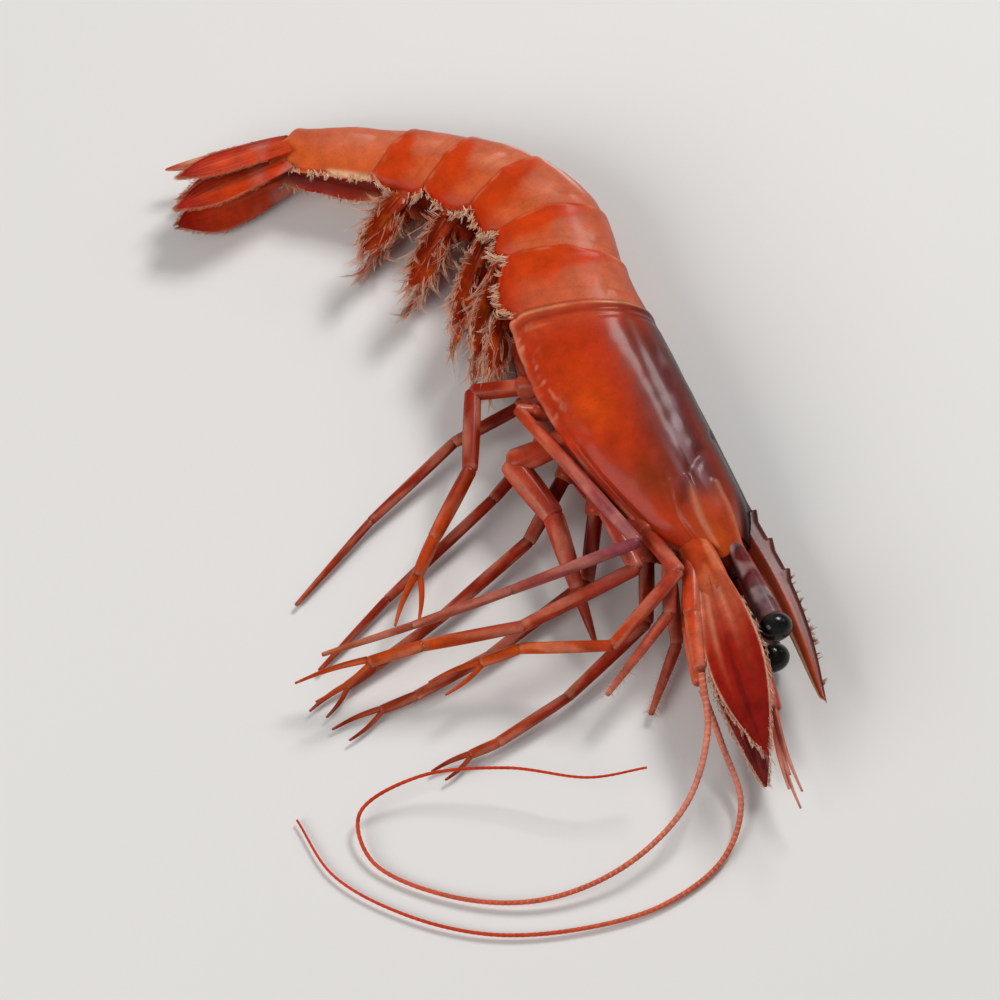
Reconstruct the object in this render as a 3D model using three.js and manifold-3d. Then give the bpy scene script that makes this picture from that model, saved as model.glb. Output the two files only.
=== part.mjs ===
// A raw blue and red shrimp, whole, lying on its left side with its tail curled round in a C.
// Millimetres, +Z up. Seen from above, the back is on the right, the head points to -Y and the
// belly and legs are on the left. The origin is under the middle of the animal, on the surface
// that it lies on. The shell is made plate by plate along one curved body line.
import * as THREE from "three";
import { mergeVertices } from "three/addons/utils/BufferGeometryUtils.js";
import Module from "manifold-3d";

// ---- Driving dimensions -------------------------------------------------------------------
const GAP = 0.3; // soft membrane between one piece of shell and the next
const CARAPACE_LENGTH = 35.5; // front edge of the head shell to its back edge, on the body line
const SEGMENT_LENGTHS = [8, 6, 7.5, 7.3, 6.8, 13]; // the six tail segments, on the body line
const HEAD_POINT = [23.8, -15.4]; // where the body line starts, at the carapace's front edge

// Shape of the body at the carapace's front, quarters and back edge, and each segment's back edge.
const HEADINGS = [117, 115, 111, 105, 98, 91, 109, 136, 150, 158, 169]; // degrees from +X
const HALF_DEPTHS = [5.0, 7.2, 8.6, 9.2, 8.8, 7.6, 7.3, 6.4, 5.4, 4.7, 3.2]; // back to belly
const HALF_WIDTHS = [4.0, 5.7, 6.8, 7.2, 7.1, 6.6, 6.4, 5.9, 5.1, 4.2, 2.7]; // side to side
const MIDDLE_HEIGHTS = [6.3, 6.4, 6.5, 6.8, 6.8, 6.4, 6.2, 5.7, 4.9, 4.4, 4.2]; // above the floor
const HEAD_TURN = 1.3; // degrees a mm by which the line bends on in front of the carapace
const HEAD_HEADING = 96; // where that bend ends
const BACK_WIDENING = 0.08; // the body is this much wider above its middle than at it
const FLANK_FULLNESS = 0.85; // under 1, the flanks are fuller than an ellipse's

const PLATE_SLANT = 2.0; // how far a plate's edge runs back at the belly and forward at the back
const PLATE_STEP = 0.05; // how much narrower a plate is at the front, under the one before it
const LOBE_DEPTH = 0.09; // how much the rounded lower lobe of a plate hangs down
const CARAPACE_ROUNDING = 0.32; // how much the head shell draws in at its front edge
const ROSTRUM_LENGTH = 30; // the spike, from its root on the carapace to its tip
const ROSTRUM_ROOT = 10; // how far behind the carapace's front edge the spike's ridge starts
const ROSTRUM_RIDGE = [7.6, 4.7]; // the ridge's height over the body line, at its root and tip
const ROSTRUM_DROOP = 1.7; // how far the tip bends down from there
const ROSTRUM_HALF_DEPTHS = [1.75, 0.25];
const ROSTRUM_HALF_WIDTHS = [1.5, 0.25];

const EYE_RADIUS = 1.9;
const STALK_RADII = [1.0, 1.4];
const ANTENNULE_RADII = [0.9, 1.0, 0.9, 0.8, 0.3];
const SCALE_LENGTH = 25; // the flat blade beside each antenna
const SCALE_WIDTH = 7;
const SCALE_LEAN = 0.6; // how far its face turns from straight up
const STEM_RADII = [1.0, 1.1, 0.75]; // the antenna's stem
const WHIP_RADII = [0.42, 0.22]; // the antenna's whip, from its stem to its free end
const WHIP_STEPS = 40;
const MOUTH_LEG_RADII = [0.85, 0.75, 0.3];
const FINGER_SPREAD = 0.2; // gap between a claw's finger tips, as a part of its length

const SWIMMERET_WIDTH = 3.8;
const SWIMMERET_LENGTHS = [9.4, 13.5, 13, 12, 10];
const SWIMMERET_WAYS = [-112, -114, -118, -126, -132]; // where each one points, degrees from +X
const SWIMMERET_DROPS = { right: 0.05, left: 0.12 }; // how steeply it falls to its tip
const TELSON_LENGTH = 15;
const FAN_BLADES = {
  inner: { toBack: 0.1, toSide: 2.5, heading: 190, length: 13.5, width: 4.2 },
  outer: { toBack: -1.7, toSide: 1.8, heading: 198, length: 14.5, width: 5.0 },
};
const BLADE_THICKNESS = 0.85; // of the antennal scales and the tail blades

const BODY_SIDES = 24;
const BLADE_SIDES = 8;
const LIMB_SIDES = 6;

// The antennae lie in loops beside the head: points chosen by hand, from stem to free end.
const ANTENNA_ROUTES = {
  right: [
    [18.3, -29.3, 8.0], [17.8, -36, 6.4], [14, -43.5, 4.2], [6, -49, 2.2], [-4, -51, 1.1],
    [-14, -48.5, 0.7], [-21.5, -43, 0.9], [-22, -37.5, 1.9], [-15, -34.6, 3.1], [-5, -35.5, 4.0],
    [4, -38.5, 4.6], [10.5, -38.5, 5.0],
  ],
  left: [
    [18.4, -29.4, 4.2], [19.6, -36, 2.8], [20.5, -43, 1.6], [17.5, -49, 0.8], [10, -53.5, 0.6],
    [0, -55, 0.6], [-10, -54, 0.6], [-19, -50, 0.6], [-26, -44, 0.6], [-29, -36.5, 0.6],
  ],
};
const MOUTH_LEG_JOINTS = {
  right: [[16.2, -20.5, 6.9], [7.7, -28.5, 4.6]],
  left: [[16.9, -22.0, 2.2], [12.5, -30.0, 1.2]],
};

// The walking legs: how far along the body each starts, its radius at each joint, and its
// stretches as [degrees from +X, length, height of the far joint]. The first three pairs have claws.
const LEGS = {
  right_1: { from: 9, claw: true, radii: [0.95, 0.85, 0.7, 0.65, 0.25],
    stretches: [[-68, 8.0, 10.2], [-142, 11.1, 7.6], [168, 10.4, 6.0], [-172, 10.8, 3.8]] },
  right_2: { from: 18, claw: true, radii: [1.0, 0.9, 0.75, 0.7, 0.25],
    stretches: [[-76, 14.2, 9.0], [-161, 14.6, 8.0], [180, 11.4, 6.8], [-177, 14.8, 3.6]] },
  right_3: { from: 29.5, claw: true, radii: [1.05, 1.0, 0.9, 0.75, 0.25],
    stretches: [[171, 6.9, 7.6], [-101, 10.1, 7.3], [-127, 8.8, 5.2], [-122, 11.4, 3.4]] },
  right_4: { from: 26, claw: false, radii: [0.8, 0.75, 0.75, 0.6, 0.5, 0.25],
    stretches: [[176, 3.2, 10.0], [-63, 22.8, 11.9], [-169, 15.3, 10.2], [-172, 11.6, 8.2],
      [-174, 10.6, 6.4]] },
  right_5: { from: 22, claw: false, radii: [1.1, 1.3, 1.2, 0.7, 0.25],
    stretches: [[-175, 6.2, 6.6], [-64, 8.1, 6.2], [-82, 9.2, 4.8], [-80, 6.5, 2.6]] },
  left_1: { from: 8, claw: true, radii: [0.9, 0.8, 0.65, 0.6, 0.25],
    stretches: [[-100, 9.0, 3.4], [-144, 12.9, 2.4], [-155, 9.4, 1.6], [-166, 8.2, 0.7]] },
  left_2: { from: 16, claw: true, radii: [0.9, 0.8, 0.65, 0.6, 0.25],
    stretches: [[-106, 9.3, 2.1], [-149, 14.6, 1.8], [-159, 9.7, 1.2], [-166, 10.3, 0.7]] },
  left_3: { from: 21, claw: true, radii: [0.9, 0.8, 0.65, 0.6, 0.25],
    stretches: [[-127, 10.0, 3.0], [-146, 14.4, 2.0], [-151, 9.2, 1.3], [-153, 8.9, 0.7]] },
  left_4: { from: 25.5, claw: false, radii: [0.8, 0.7, 0.55, 0.25],
    stretches: [[-139, 9.9, 3.0], [-144, 17.2, 1.4], [-140, 11.7, 0.7]] },
  left_5: { from: 30, claw: false, radii: [0.8, 0.7, 0.55, 0.25],
    stretches: [[-162, 10.0, 3.0], [-144, 13.6, 1.6], [-138, 13.5, 0.7]] },
};

// ---- Materials ----------------------------------------------------------------------------
const shell = (color, roughness) => new THREE.MeshStandardMaterial({ color, roughness, metalness: 0 });
const MATERIALS = {
  carapace: shell("#8a3b33", 0.3),
  tail: shell("#d0602f", 0.3),
  fan: shell("#b8391a", 0.3),
  limb: shell("#b54428", 0.35),
  swimmeret: shell("#92381d", 0.45),
  whip: shell("#d2633f", 0.4),
  eye: shell("#15171b", 0.15),
};

// ---- Solids -------------------------------------------------------------------------------
const wasm = await Module();
wasm.setup();

const DEGREE = Math.PI / 180;
const UP = new THREE.Vector3(0, 0, 1);
const { lerp, smoothstep, clamp } = THREE.MathUtils;
const vec = (x, y, z) => new THREE.Vector3(x, y, z);

function positionsOnly(geometry) {
  const bare = new THREE.BufferGeometry();
  bare.setAttribute("position", geometry.getAttribute("position"));
  bare.setIndex(geometry.index);
  return mergeVertices(bare, 1e-4);
}

function signedVolume(geometry) {
  const position = geometry.getAttribute("position");
  const corner = (i) => new THREE.Vector3().fromBufferAttribute(position, geometry.index.getX(i));
  let six = 0;
  for (let i = 0; i < geometry.index.count; i += 3) {
    six += corner(i).dot(corner(i + 1).cross(corner(i + 2)));
  }
  return six / 6;
}

// A closed solid along a line. A cylinder is bent so that wall(t, angle) is its side and
// middle(t) is the point at the centre of each end cap, with t from 0 to 1.
function sweep(sides, steps, wall, middle) {
  const geometry = new THREE.CylinderGeometry(1, 1, 1, sides, steps);
  const position = geometry.getAttribute("position");
  for (let i = 0; i < position.count; i++) {
    const t = position.getY(i) + 0.5;
    const onWall = Math.hypot(position.getX(i), position.getZ(i)) > 0.5;
    const angle = Math.atan2(position.getX(i), position.getZ(i));
    const place = onWall ? wall(t, angle) : middle(t);
    position.setXYZ(i, place.x, place.y, place.z);
  }
  const solid = positionsOnly(geometry);
  if (signedVolume(solid) < 0) {
    solid.setIndex(Array.from(solid.index.array).reverse());
  }
  return solid;
}

function toManifold(geometry) {
  const merged = positionsOnly(geometry);
  const vertProperties = new Float32Array(merged.getAttribute("position").array);
  const triVerts = new Uint32Array(merged.index.array);
  return new wasm.Manifold(new wasm.Mesh({ numProp: 3, vertProperties, triVerts }));
}

function toGeometry(manifold) {
  const mesh = manifold.getMesh();
  const geometry = new THREE.BufferGeometry();
  geometry.setAttribute("position", new THREE.BufferAttribute(new Float32Array(mesh.vertProperties), 3));
  geometry.setIndex(new THREE.BufferAttribute(new Uint32Array(mesh.triVerts), 1));
  return geometry;
}

const join = (pieces) => toGeometry(pieces.map(toManifold).reduce((all, next) => all.add(next)));

// Cuts a piece back from what carries it. Of what is left, only the largest bit is the piece.
function trim(piece, neighbours) {
  const rest = neighbours.map(toManifold).reduce((left, next) => left.subtract(next), toManifold(piece));
  const bits = rest.decompose().sort((a, b) => b.volume() - a.volume());
  return toGeometry(bits[0]);
}

// ---- The body line ------------------------------------------------------------------------
// Stations are distances from the carapace's front edge.
const STATIONS = [0, 0.25, 0.5, 0.75, 1].map((part) => part * CARAPACE_LENGTH);
const FIRST_SEGMENT = STATIONS.length - 1; // the station where the tail starts
for (const length of SEGMENT_LENGTHS) STATIONS.push(STATIONS.at(-1) + length);
const BODY_LENGTH = STATIONS.at(-1);

// A smooth curve through one value for each station, level past both ends.
function along(values) {
  const last = values.length - 1;
  const slope = (i) => {
    const a = Math.max(i - 1, 0);
    const b = Math.min(i + 1, last);
    return (values[b] - values[a]) / (STATIONS[b] - STATIONS[a]);
  };
  return (s) => {
    const at = clamp(s, 0, BODY_LENGTH);
    const next = STATIONS.findIndex((station) => station > at);
    const low = next < 0 ? last - 1 : next - 1;
    const span = STATIONS[low + 1] - STATIONS[low];
    const u = (at - STATIONS[low]) / span;
    const bow = slope(low) * u * (1 - u) ** 2 - slope(low + 1) * u * u * (1 - u);
    return lerp(values[low], values[low + 1], u * u * (3 - 2 * u)) + span * bow;
  };
}

const shellHeadingAt = along(HEADINGS);
const headingAt = (s) => (s < 0 ? Math.max(HEADINGS[0] + HEAD_TURN * s, HEAD_HEADING) : shellHeadingAt(s));
const halfDepthAt = along(HALF_DEPTHS);
const halfWidthAt = along(HALF_WIDTHS);
const heightAt = along(MIDDLE_HEIGHTS);

// The frame of the body at a distance s: its middle, and the way to the back. The middle is found
// by walking along the line from its start in short steps.
function bodyFrame(s) {
  const steps = Math.max(Math.ceil(Math.abs(s) / 0.5), 1);
  const step = s / steps;
  const middle = vec(HEAD_POINT[0], HEAD_POINT[1], heightAt(s));
  for (let i = 0; i < steps; i++) {
    const heading = headingAt((i + 0.5) * step) * DEGREE;
    middle.x += Math.cos(heading) * step;
    middle.y += Math.sin(heading) * step;
  }
  const heading = headingAt(s) * DEGREE;
  return { middle, back: vec(Math.sin(heading), -Math.cos(heading), 0) };
}

// A point by its place in the body: s along it, so far to the back, so far up to the right side.
function inBody(s, toBack, toRight) {
  const { middle, back } = bodyFrame(s);
  return middle.addScaledVector(back, toBack).addScaledVector(UP, toRight);
}

// A point of the shell at an angle round the body, 0 at the back and positive on the right side.
function shellPoint(s, angle, size, grow) {
  const width = (halfWidthAt(s) * size + grow) * (1 + BACK_WIDENING * Math.cos(angle));
  const side = Math.sign(Math.sin(angle)) * Math.abs(Math.sin(angle)) ** FLANK_FULLNESS;
  const depth = Math.cos(angle) * (halfDepthAt(s) * size + grow);
  const point = inBody(s, depth, width * side);
  point.z = Math.max(point.z, -grow); // the flank is pressed flat where it rests
  return point;
}

// Plates run forward at the back and backward lower down, and are square across the belly.
function plateSlant(angle) {
  const belly = smoothstep(Math.abs(angle), 130 * DEGREE, 180 * DEGREE);
  return -PLATE_SLANT * Math.cos(angle) * (1 - belly);
}

// ---- Carapace and rostrum -----------------------------------------------------------------
function carapace(grow) {
  const start = -grow;
  const end = CARAPACE_LENGTH + grow;
  const frontBulge = 1.5;
  const roundedOver = 0.16; // of the length, from the front edge
  const wall = (t, angle) => {
    const size = 1 - CARAPACE_ROUNDING * (1 - Math.min(t / roundedOver, 1)) ** 2;
    return shellPoint(lerp(start, end, t) + plateSlant(angle) * t, angle, size, grow);
  };
  const middle = (t) => inBody(t < 0.5 ? start - frontBulge : end, 0, 0);
  return sweep(BODY_SIDES, 12, wall, middle);
}

// The rostrum carries the ridge of the back on, past the eyes, and tapers late to its tip.
function rostrum(grow) {
  const station = (t) => ROSTRUM_ROOT - ROSTRUM_LENGTH * t;
  const depth = (t) => lerp(...ROSTRUM_HALF_DEPTHS, t ** 3) + grow;
  const ridge = (t) => lerp(...ROSTRUM_RIDGE, Math.sin(90 * DEGREE * t)) - ROSTRUM_DROOP * t * t;
  const middle = (t) => inBody(station(t), ridge(t) + grow - depth(t), 0);
  const wall = (t, angle) => {
    const width = lerp(...ROSTRUM_HALF_WIDTHS, t) + grow;
    return middle(t)
      .addScaledVector(bodyFrame(station(t)).back, depth(t) * Math.cos(angle))
      .addScaledVector(UP, width * Math.sin(angle));
  };
  return sweep(BLADE_SIDES, 6, wall, middle);
}

const headShell = (grow) => join([carapace(grow), rostrum(grow)]);

// ---- The six tail segments ----------------------------------------------------------------
function segment(index, grow) {
  const start = STATIONS[FIRST_SEGMENT + index] + GAP - grow;
  const end = STATIONS[FIRST_SEGMENT + index + 1] + grow;
  const wall = (t, angle) => {
    const low = smoothstep(Math.abs(angle), 90 * DEGREE, 140 * DEGREE);
    const lobe = 1 + LOBE_DEPTH * low * (Math.sin(Math.PI * t) - 0.5);
    const size = (1 - PLATE_STEP * (1 - t)) * lobe;
    return shellPoint(lerp(start, end, t) + plateSlant(angle), angle, size, grow);
  };
  const middle = (t) => inBody(t < 0.5 ? start : end, 0, 0);
  return sweep(BODY_SIDES, 4, wall, middle);
}

// ---- Flat blades, jointed limbs and whips -------------------------------------------------
// A leaf-shaped blade from root to tip. Its face looks along normal, and widest says where.
function blade({ root, tip, width, thickness, normal, widest, rootWidth }) {
  const axis = tip.clone().sub(root);
  const across = new THREE.Vector3().crossVectors(normal, axis).normalize();
  const face = new THREE.Vector3().crossVectors(axis, across).normalize();
  const middle = (t) => root.clone().addScaledVector(axis, t);
  const widthAt = (t) => {
    if (t < widest) return lerp(rootWidth, width, Math.sin((t / widest) * 90 * DEGREE));
    return width * Math.cos(((t - widest) / (1 - widest)) * 84 * DEGREE);
  };
  const wall = (t, angle) => {
    const thick = 0.5 * thickness * (1 - 0.5 * t);
    return middle(t)
      .addScaledVector(across, 0.5 * widthAt(t) * Math.cos(angle))
      .addScaledVector(face, thick * Math.sin(angle));
  };
  return sweep(BLADE_SIDES, 6, wall, middle);
}

// A round tube: place(t) is its middle, way(t) its direction and radius(t) its size.
function tube(steps, place, way, radius) {
  const wall = (t, angle) => {
    const across = new THREE.Vector3().crossVectors(UP, way(t)).normalize();
    const face = new THREE.Vector3().crossVectors(way(t), across);
    return place(t)
      .addScaledVector(across, radius(t) * Math.cos(angle))
      .addScaledVector(face, radius(t) * Math.sin(angle));
  };
  return sweep(LIMB_SIDES, steps, wall, place);
}

// One stretch of a limb between two joints, fullest near its middle.
function stretch(from, to, startRadius, endRadius) {
  const way = to.clone().sub(from).normalize();
  const overlap = 0.45 * Math.min(startRadius, endRadius);
  const length = from.distanceTo(to) + 2 * overlap;
  const fullness = (t) => 0.82 + 0.3 * Math.sin(Math.PI * (0.1 + 0.72 * t));
  const place = (t) => from.clone().addScaledVector(way, t * length - overlap);
  return tube(2, place, () => way, (t) => lerp(startRadius, endRadius, t) * fullness(t));
}

// A limb through its joints. With a claw, the last stretch is two fingers of a pincer.
function limb(joints, radii, claw) {
  const pieces = [];
  for (let i = 0; i + 1 < joints.length; i++) {
    pieces.push(stretch(joints[i], joints[i + 1], radii[i], radii[i + 1]));
  }
  if (claw) {
    const [wrist, end] = joints.slice(-2);
    const way = end.clone().sub(wrist);
    const aside = new THREE.Vector3().crossVectors(UP, way).setLength(FINGER_SPREAD * way.length());
    const tip = end.clone().add(aside).addScaledVector(way, -0.12);
    pieces.push(stretch(wrist.clone().addScaledVector(way, 0.1), tip, radii.at(-2) * 0.8, radii.at(-1)));
  }
  return join(pieces);
}

function whip(points) {
  const route = new THREE.CatmullRomCurve3(points.map((point) => vec(...point)), false, "centripetal");
  const radius = (t) => lerp(...WHIP_RADII, t);
  return tube(WHIP_STEPS, (t) => route.getPointAt(t), (t) => route.getTangentAt(t), radius);
}

// A direction in plan, at so many degrees from +X.
const compass = (degrees) => vec(Math.cos(degrees * DEGREE), Math.sin(degrees * DEGREE), 0);

// ---- The whole animal ---------------------------------------------------------------------
const shrimp = new THREE.Group();

function add(name, geometry, material) {
  const mesh = new THREE.Mesh(geometry, MATERIALS[material]);
  mesh.name = name;
  shrimp.add(mesh);
}

const SIDES = { right: 1, left: -1 };
const eachSide = (make) => Object.entries(SIDES).forEach(([side, sign]) => make(side, sign));

// What the limbs are cut back from: the shell, grown by the gap that they keep to it.
const aroundHead = headShell(GAP);
const aroundSegments = SEGMENT_LENGTHS.map((length, index) => segment(index, GAP));

add("carapace", headShell(0), "carapace");
SEGMENT_LENGTHS.forEach((length, index) => add(`tail_segment_${index + 1}`, segment(index, 0), "tail"));

// The eyes: a dark round cornea on a short stalk, one on each side of the rostrum.
eachSide((side, sign) => {
  const centre = inBody(-11, -0.2, sign * 3.7);
  const cornea = new THREE.SphereGeometry(EYE_RADIUS, 14, 10).translate(centre.x, centre.y, centre.z);
  const stalk = stretch(inBody(0.5, 1.4, sign * 2.4), centre, ...STALK_RADII);
  add(`eye_${side}`, trim(join([cornea, stalk]), [aroundHead]), "eye");
});

// The antennules: a thick three-part stem under each eye, with a short whip at its end.
eachSide((side, sign) => {
  const joints = [
    inBody(0.5, -1.8, sign * 1.3),
    inBody(-9, -2.8, sign * 1.35),
    inBody(-15, -3.0, sign * 1.4),
    inBody(-20, -3.2, sign * 1.5),
    inBody(-31, -3.6, sign * 1.9),
  ];
  add(`antennule_${side}`, trim(limb(joints, ANTENNULE_RADII, false), [aroundHead]), "limb");
});

// The antennal scales: broad thin blades, leaning out beside the antennules.
eachSide((side, sign) => {
  const scale = blade({
    root: inBody(-1.5, -3.4, sign * 3.4),
    tip: inBody(-1.5 - SCALE_LENGTH, -6.0, sign * 4.0),
    width: SCALE_WIDTH,
    thickness: BLADE_THICKNESS,
    normal: UP.clone().addScaledVector(bodyFrame(-12).back, -SCALE_LEAN * sign),
    widest: 0.5,
    rootWidth: 2.4,
  });
  add(`antennal_scale_${side}`, trim(scale, [aroundHead]), "limb");
});

// The antennae: a stout stem below each scale, and the long whip that it carries.
eachSide((side, sign) => {
  const joints = [inBody(2, -3.6, sign * 2.0), inBody(-4, -7.4, sign * 2.2), inBody(-12, -9.7, sign * 1.8)];
  add(`antenna_stem_${side}`, trim(limb(joints, STEM_RADII, false), [aroundHead]), "limb");
  add(`antenna_whip_${side}`, whip(ANTENNA_ROUTES[side]), "whip");
});

// The mouth legs, thin and jointed, folded forward under the head.
eachSide((side, sign) => {
  const joints = [inBody(5, -4.6, sign * 1.7), ...MOUTH_LEG_JOINTS[side].map((joint) => vec(...joint))];
  add(`mouth_leg_${side}`, trim(limb(joints, MOUTH_LEG_RADII, false), [aroundHead]), "limb");
});

// The walking legs, from under the edge of the carapace.
for (const [name, leg] of Object.entries(LEGS)) {
  const sign = name.startsWith("right") ? SIDES.right : SIDES.left;
  const joints = [inBody(leg.from, 1.6 - halfDepthAt(leg.from), sign * 2.2)];
  for (const [degrees, length, height] of leg.stretches) {
    joints.push(joints.at(-1).clone().addScaledVector(compass(degrees), length).setZ(height));
  }
  add(`walking_leg_${name}`, trim(limb(joints, leg.radii, leg.claw), [aroundHead]), "limb");
}

// The swimmerets: a pair of leaves under each of the first five tail segments.
eachSide((side, sign) => {
  SWIMMERET_WAYS.forEach((degrees, index) => {
    const s = STATIONS[FIRST_SEGMENT + index] + 0.55 * SEGMENT_LENGTHS[index];
    const root = inBody(s, 1.2 - halfDepthAt(s), sign * 2.1);
    const way = compass(degrees).setZ(-SWIMMERET_DROPS[side]);
    const leaf = blade({
      root,
      tip: root.clone().addScaledVector(way, SWIMMERET_LENGTHS[index]),
      width: SWIMMERET_WIDTH,
      thickness: 1.2,
      normal: compass(degrees - 90).multiplyScalar(-1).setZ(0.8 * sign),
      widest: 0.55,
      rootWidth: 2.2,
    });
    const carriers = [aroundHead, ...aroundSegments.slice(0, 5)];
    add(`swimmeret_${side}_${index + 1}`, trim(leaf, carriers), "swimmeret");
  });
});

// The tail fan: the pointed telson, and on each side an inner and an outer blade folded below it.
const tailBack = bodyFrame(BODY_LENGTH).back;
const tailEnd = aroundSegments.at(-1);
const fanRoot = (toBack, toRight) => inBody(BODY_LENGTH - 0.6, toBack, toRight);
const telson = blade({
  root: fanRoot(1.7, 0),
  tip: fanRoot(1.7, -0.4).addScaledVector(compass(183), TELSON_LENGTH),
  width: 3.6,
  thickness: 2.0,
  normal: tailBack,
  widest: 0.12,
  rootWidth: 3.2,
});
add("telson", trim(telson, [tailEnd]), "fan");
eachSide((side, sign) => {
  for (const [place, { toBack, toSide, heading, length, width }] of Object.entries(FAN_BLADES)) {
    const root = fanRoot(toBack, sign * toSide);
    const leaf = blade({
      root,
      tip: root.clone().addScaledVector(compass(heading), length),
      width,
      thickness: BLADE_THICKNESS,
      normal: UP.clone().multiplyScalar(sign).addScaledVector(tailBack, 0.5),
      widest: 0.62,
      rootWidth: 2.0,
    });
    add(`tail_blade_${place}_${side}`, trim(leaf, [tailEnd]), "fan");
  }
});

// The origin goes under the middle of the whole animal.
const middleOfAll = new THREE.Box3().setFromObject(shrimp).getCenter(vec(0, 0, 0));
shrimp.position.set(-middleOfAll.x, -middleOfAll.y, 0);

export default shrimp;
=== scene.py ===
"""A raw blue and red shrimp, whole, lying on its left side with its tail curled round in a C.

The shape is worked out in millimetres, in the drawing's own coordinates: +Z is up, to the animal's
right side, the back is towards +X and the head towards -Y. piece() puts it in place in metres.
"""

import bpy
import numpy as np
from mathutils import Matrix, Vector


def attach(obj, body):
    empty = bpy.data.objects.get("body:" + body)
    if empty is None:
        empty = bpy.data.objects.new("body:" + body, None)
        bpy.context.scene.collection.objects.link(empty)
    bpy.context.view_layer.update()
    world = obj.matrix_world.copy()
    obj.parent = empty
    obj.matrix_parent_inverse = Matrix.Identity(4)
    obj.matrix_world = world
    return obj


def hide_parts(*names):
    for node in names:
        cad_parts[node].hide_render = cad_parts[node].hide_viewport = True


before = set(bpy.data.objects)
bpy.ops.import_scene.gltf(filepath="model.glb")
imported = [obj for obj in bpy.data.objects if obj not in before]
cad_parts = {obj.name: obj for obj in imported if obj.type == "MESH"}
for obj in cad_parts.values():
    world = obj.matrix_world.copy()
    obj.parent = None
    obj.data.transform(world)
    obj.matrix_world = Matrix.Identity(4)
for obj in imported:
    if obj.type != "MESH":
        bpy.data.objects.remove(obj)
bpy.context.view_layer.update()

# ---- The table and the light --------------------------------------------------------------
# A pale matt board under soft boxes, as in a studio for food. The camera looks down over the
# belly at about 60 degrees, from far off, with a long lens.
MM = 0.001
CAMERA_PLACE = np.array([-57.8, -354.2, 637.3]) * MM
CAMERA_TARGET = np.array([0.0, 0.5, 4.0]) * MM
SENSOR_MM = 36
VIEW_HEIGHT = 0.115  # metres that the frame covers at the shrimp
BOARD_REACH = 1.5  # metres from the board's middle to its edges
ROOM_COLOUR, ROOM_STRENGTH = "#e6e9ee", 0.28
SOFT_BOXES = {  # place, size and power: in metres and watts
    "key": ((0.36, 0.42, 0.56), 0.22, 3.9),
    "fill": ((-0.50, -0.25, 0.42), 0.45, 3.2),
    "edge": ((0.50, 0.20, 0.30), 0.08, 0.1),
}


def linear(hex_colour):
    """An sRGB hex colour as linear red, green and blue."""
    srgb = np.array([int(hex_colour[i:i + 2], 16) for i in (1, 3, 5)]) / 255
    return np.where(srgb <= 0.04045, srgb / 12.92, ((srgb + 0.055) / 1.055) ** 2.4)


def add_node(tree, kind, sockets=(), **settings):
    """Adds one node with its settings, and fills its sockets with values or with links."""
    made = tree.nodes.new(kind)
    for setting, value in settings.items():
        setattr(made, setting, value)
    for socket, value in dict(sockets).items():
        if isinstance(value, bpy.types.NodeSocket):
            tree.links.new(value, made.inputs[socket])
        else:
            made.inputs[socket].default_value = value
    return made


def rgba(hex_colour):
    """An sRGB hex colour for a colour socket: linear, and opaque."""
    return (*linear(hex_colour), 1.0)


def look(made, place, target=(0, 0, 0)):
    """Puts a camera or a soft box at a place, facing the target."""
    bpy.context.scene.collection.objects.link(made)
    made.location = place
    made.rotation_mode = "QUATERNION"
    made.rotation_quaternion = Vector(np.subtract(target, place)).to_track_quat("-Z", "Y")


camera_data = bpy.data.cameras.new("camera")
camera_data.sensor_width = SENSOR_MM
camera_data.lens = SENSOR_MM * Vector(CAMERA_TARGET - CAMERA_PLACE).length / VIEW_HEIGHT
camera_data.clip_start, camera_data.clip_end = 0.05, 20
camera = bpy.data.objects.new("camera", camera_data)
look(camera, CAMERA_PLACE, CAMERA_TARGET)
bpy.context.scene.camera = camera
bpy.context.scene.view_settings.view_transform = "Standard"

# Matt emulsion paint, rolled on: it gives the eye a quiet ground, with soft shadows and no glare.
painted_board = bpy.data.materials.new("matt_painted_board")
painted_board.use_nodes = True
board_shader = painted_board.node_tree.nodes["Principled BSDF"]
board_shader.inputs["Base Color"].default_value = rgba("#dcd9d5")
board_shader.inputs["Roughness"].default_value = 0.6
board_mesh = bpy.data.meshes.new("board")
board_corners = BOARD_REACH * np.array([(-1, -1, 0), (1, -1, 0), (1, 1, 0), (-1, 1, 0)])
board_mesh.from_pydata(board_corners, [], [(0, 1, 2, 3)])
board_mesh.materials.append(painted_board)
board = bpy.data.objects.new("board", board_mesh)
bpy.context.scene.collection.objects.link(board)

world = bpy.data.worlds.new("white_room")
bpy.context.scene.world = world
world.use_nodes = True
room = world.node_tree.nodes["Background"]
room.inputs["Color"].default_value = rgba(ROOM_COLOUR)
room.inputs["Strength"].default_value = ROOM_STRENGTH
for name, (place, size, power) in SOFT_BOXES.items():
    box_data = bpy.data.lights.new(name, "AREA")
    box_data.size, box_data.energy = size, power
    look(bpy.data.objects.new(name, box_data), place)

# ---- Carapace and rostrum -----------------------------------------------------------------
# The head and breast are under one thin shell, open below, with a rolled rim and a few shallow
# grooves. Its ridge runs on in front as a flat spike with three teeth. The shell is half clear,
# so the dark organs show through it: violet along the back, orange over the gills.
MIDDLE_OF_ALL = np.array([-0.12888, -1.75537, 0.0])  # of the drawing: the origin is under it
CARAPACE_LENGTH = 35.5
SEGMENT_LENGTHS = [8, 6, 7.5, 7.3, 6.8, 13]
HEAD_POINT = (23.8, -15.4)  # where the body line starts, at the head shell's front edge
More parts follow.
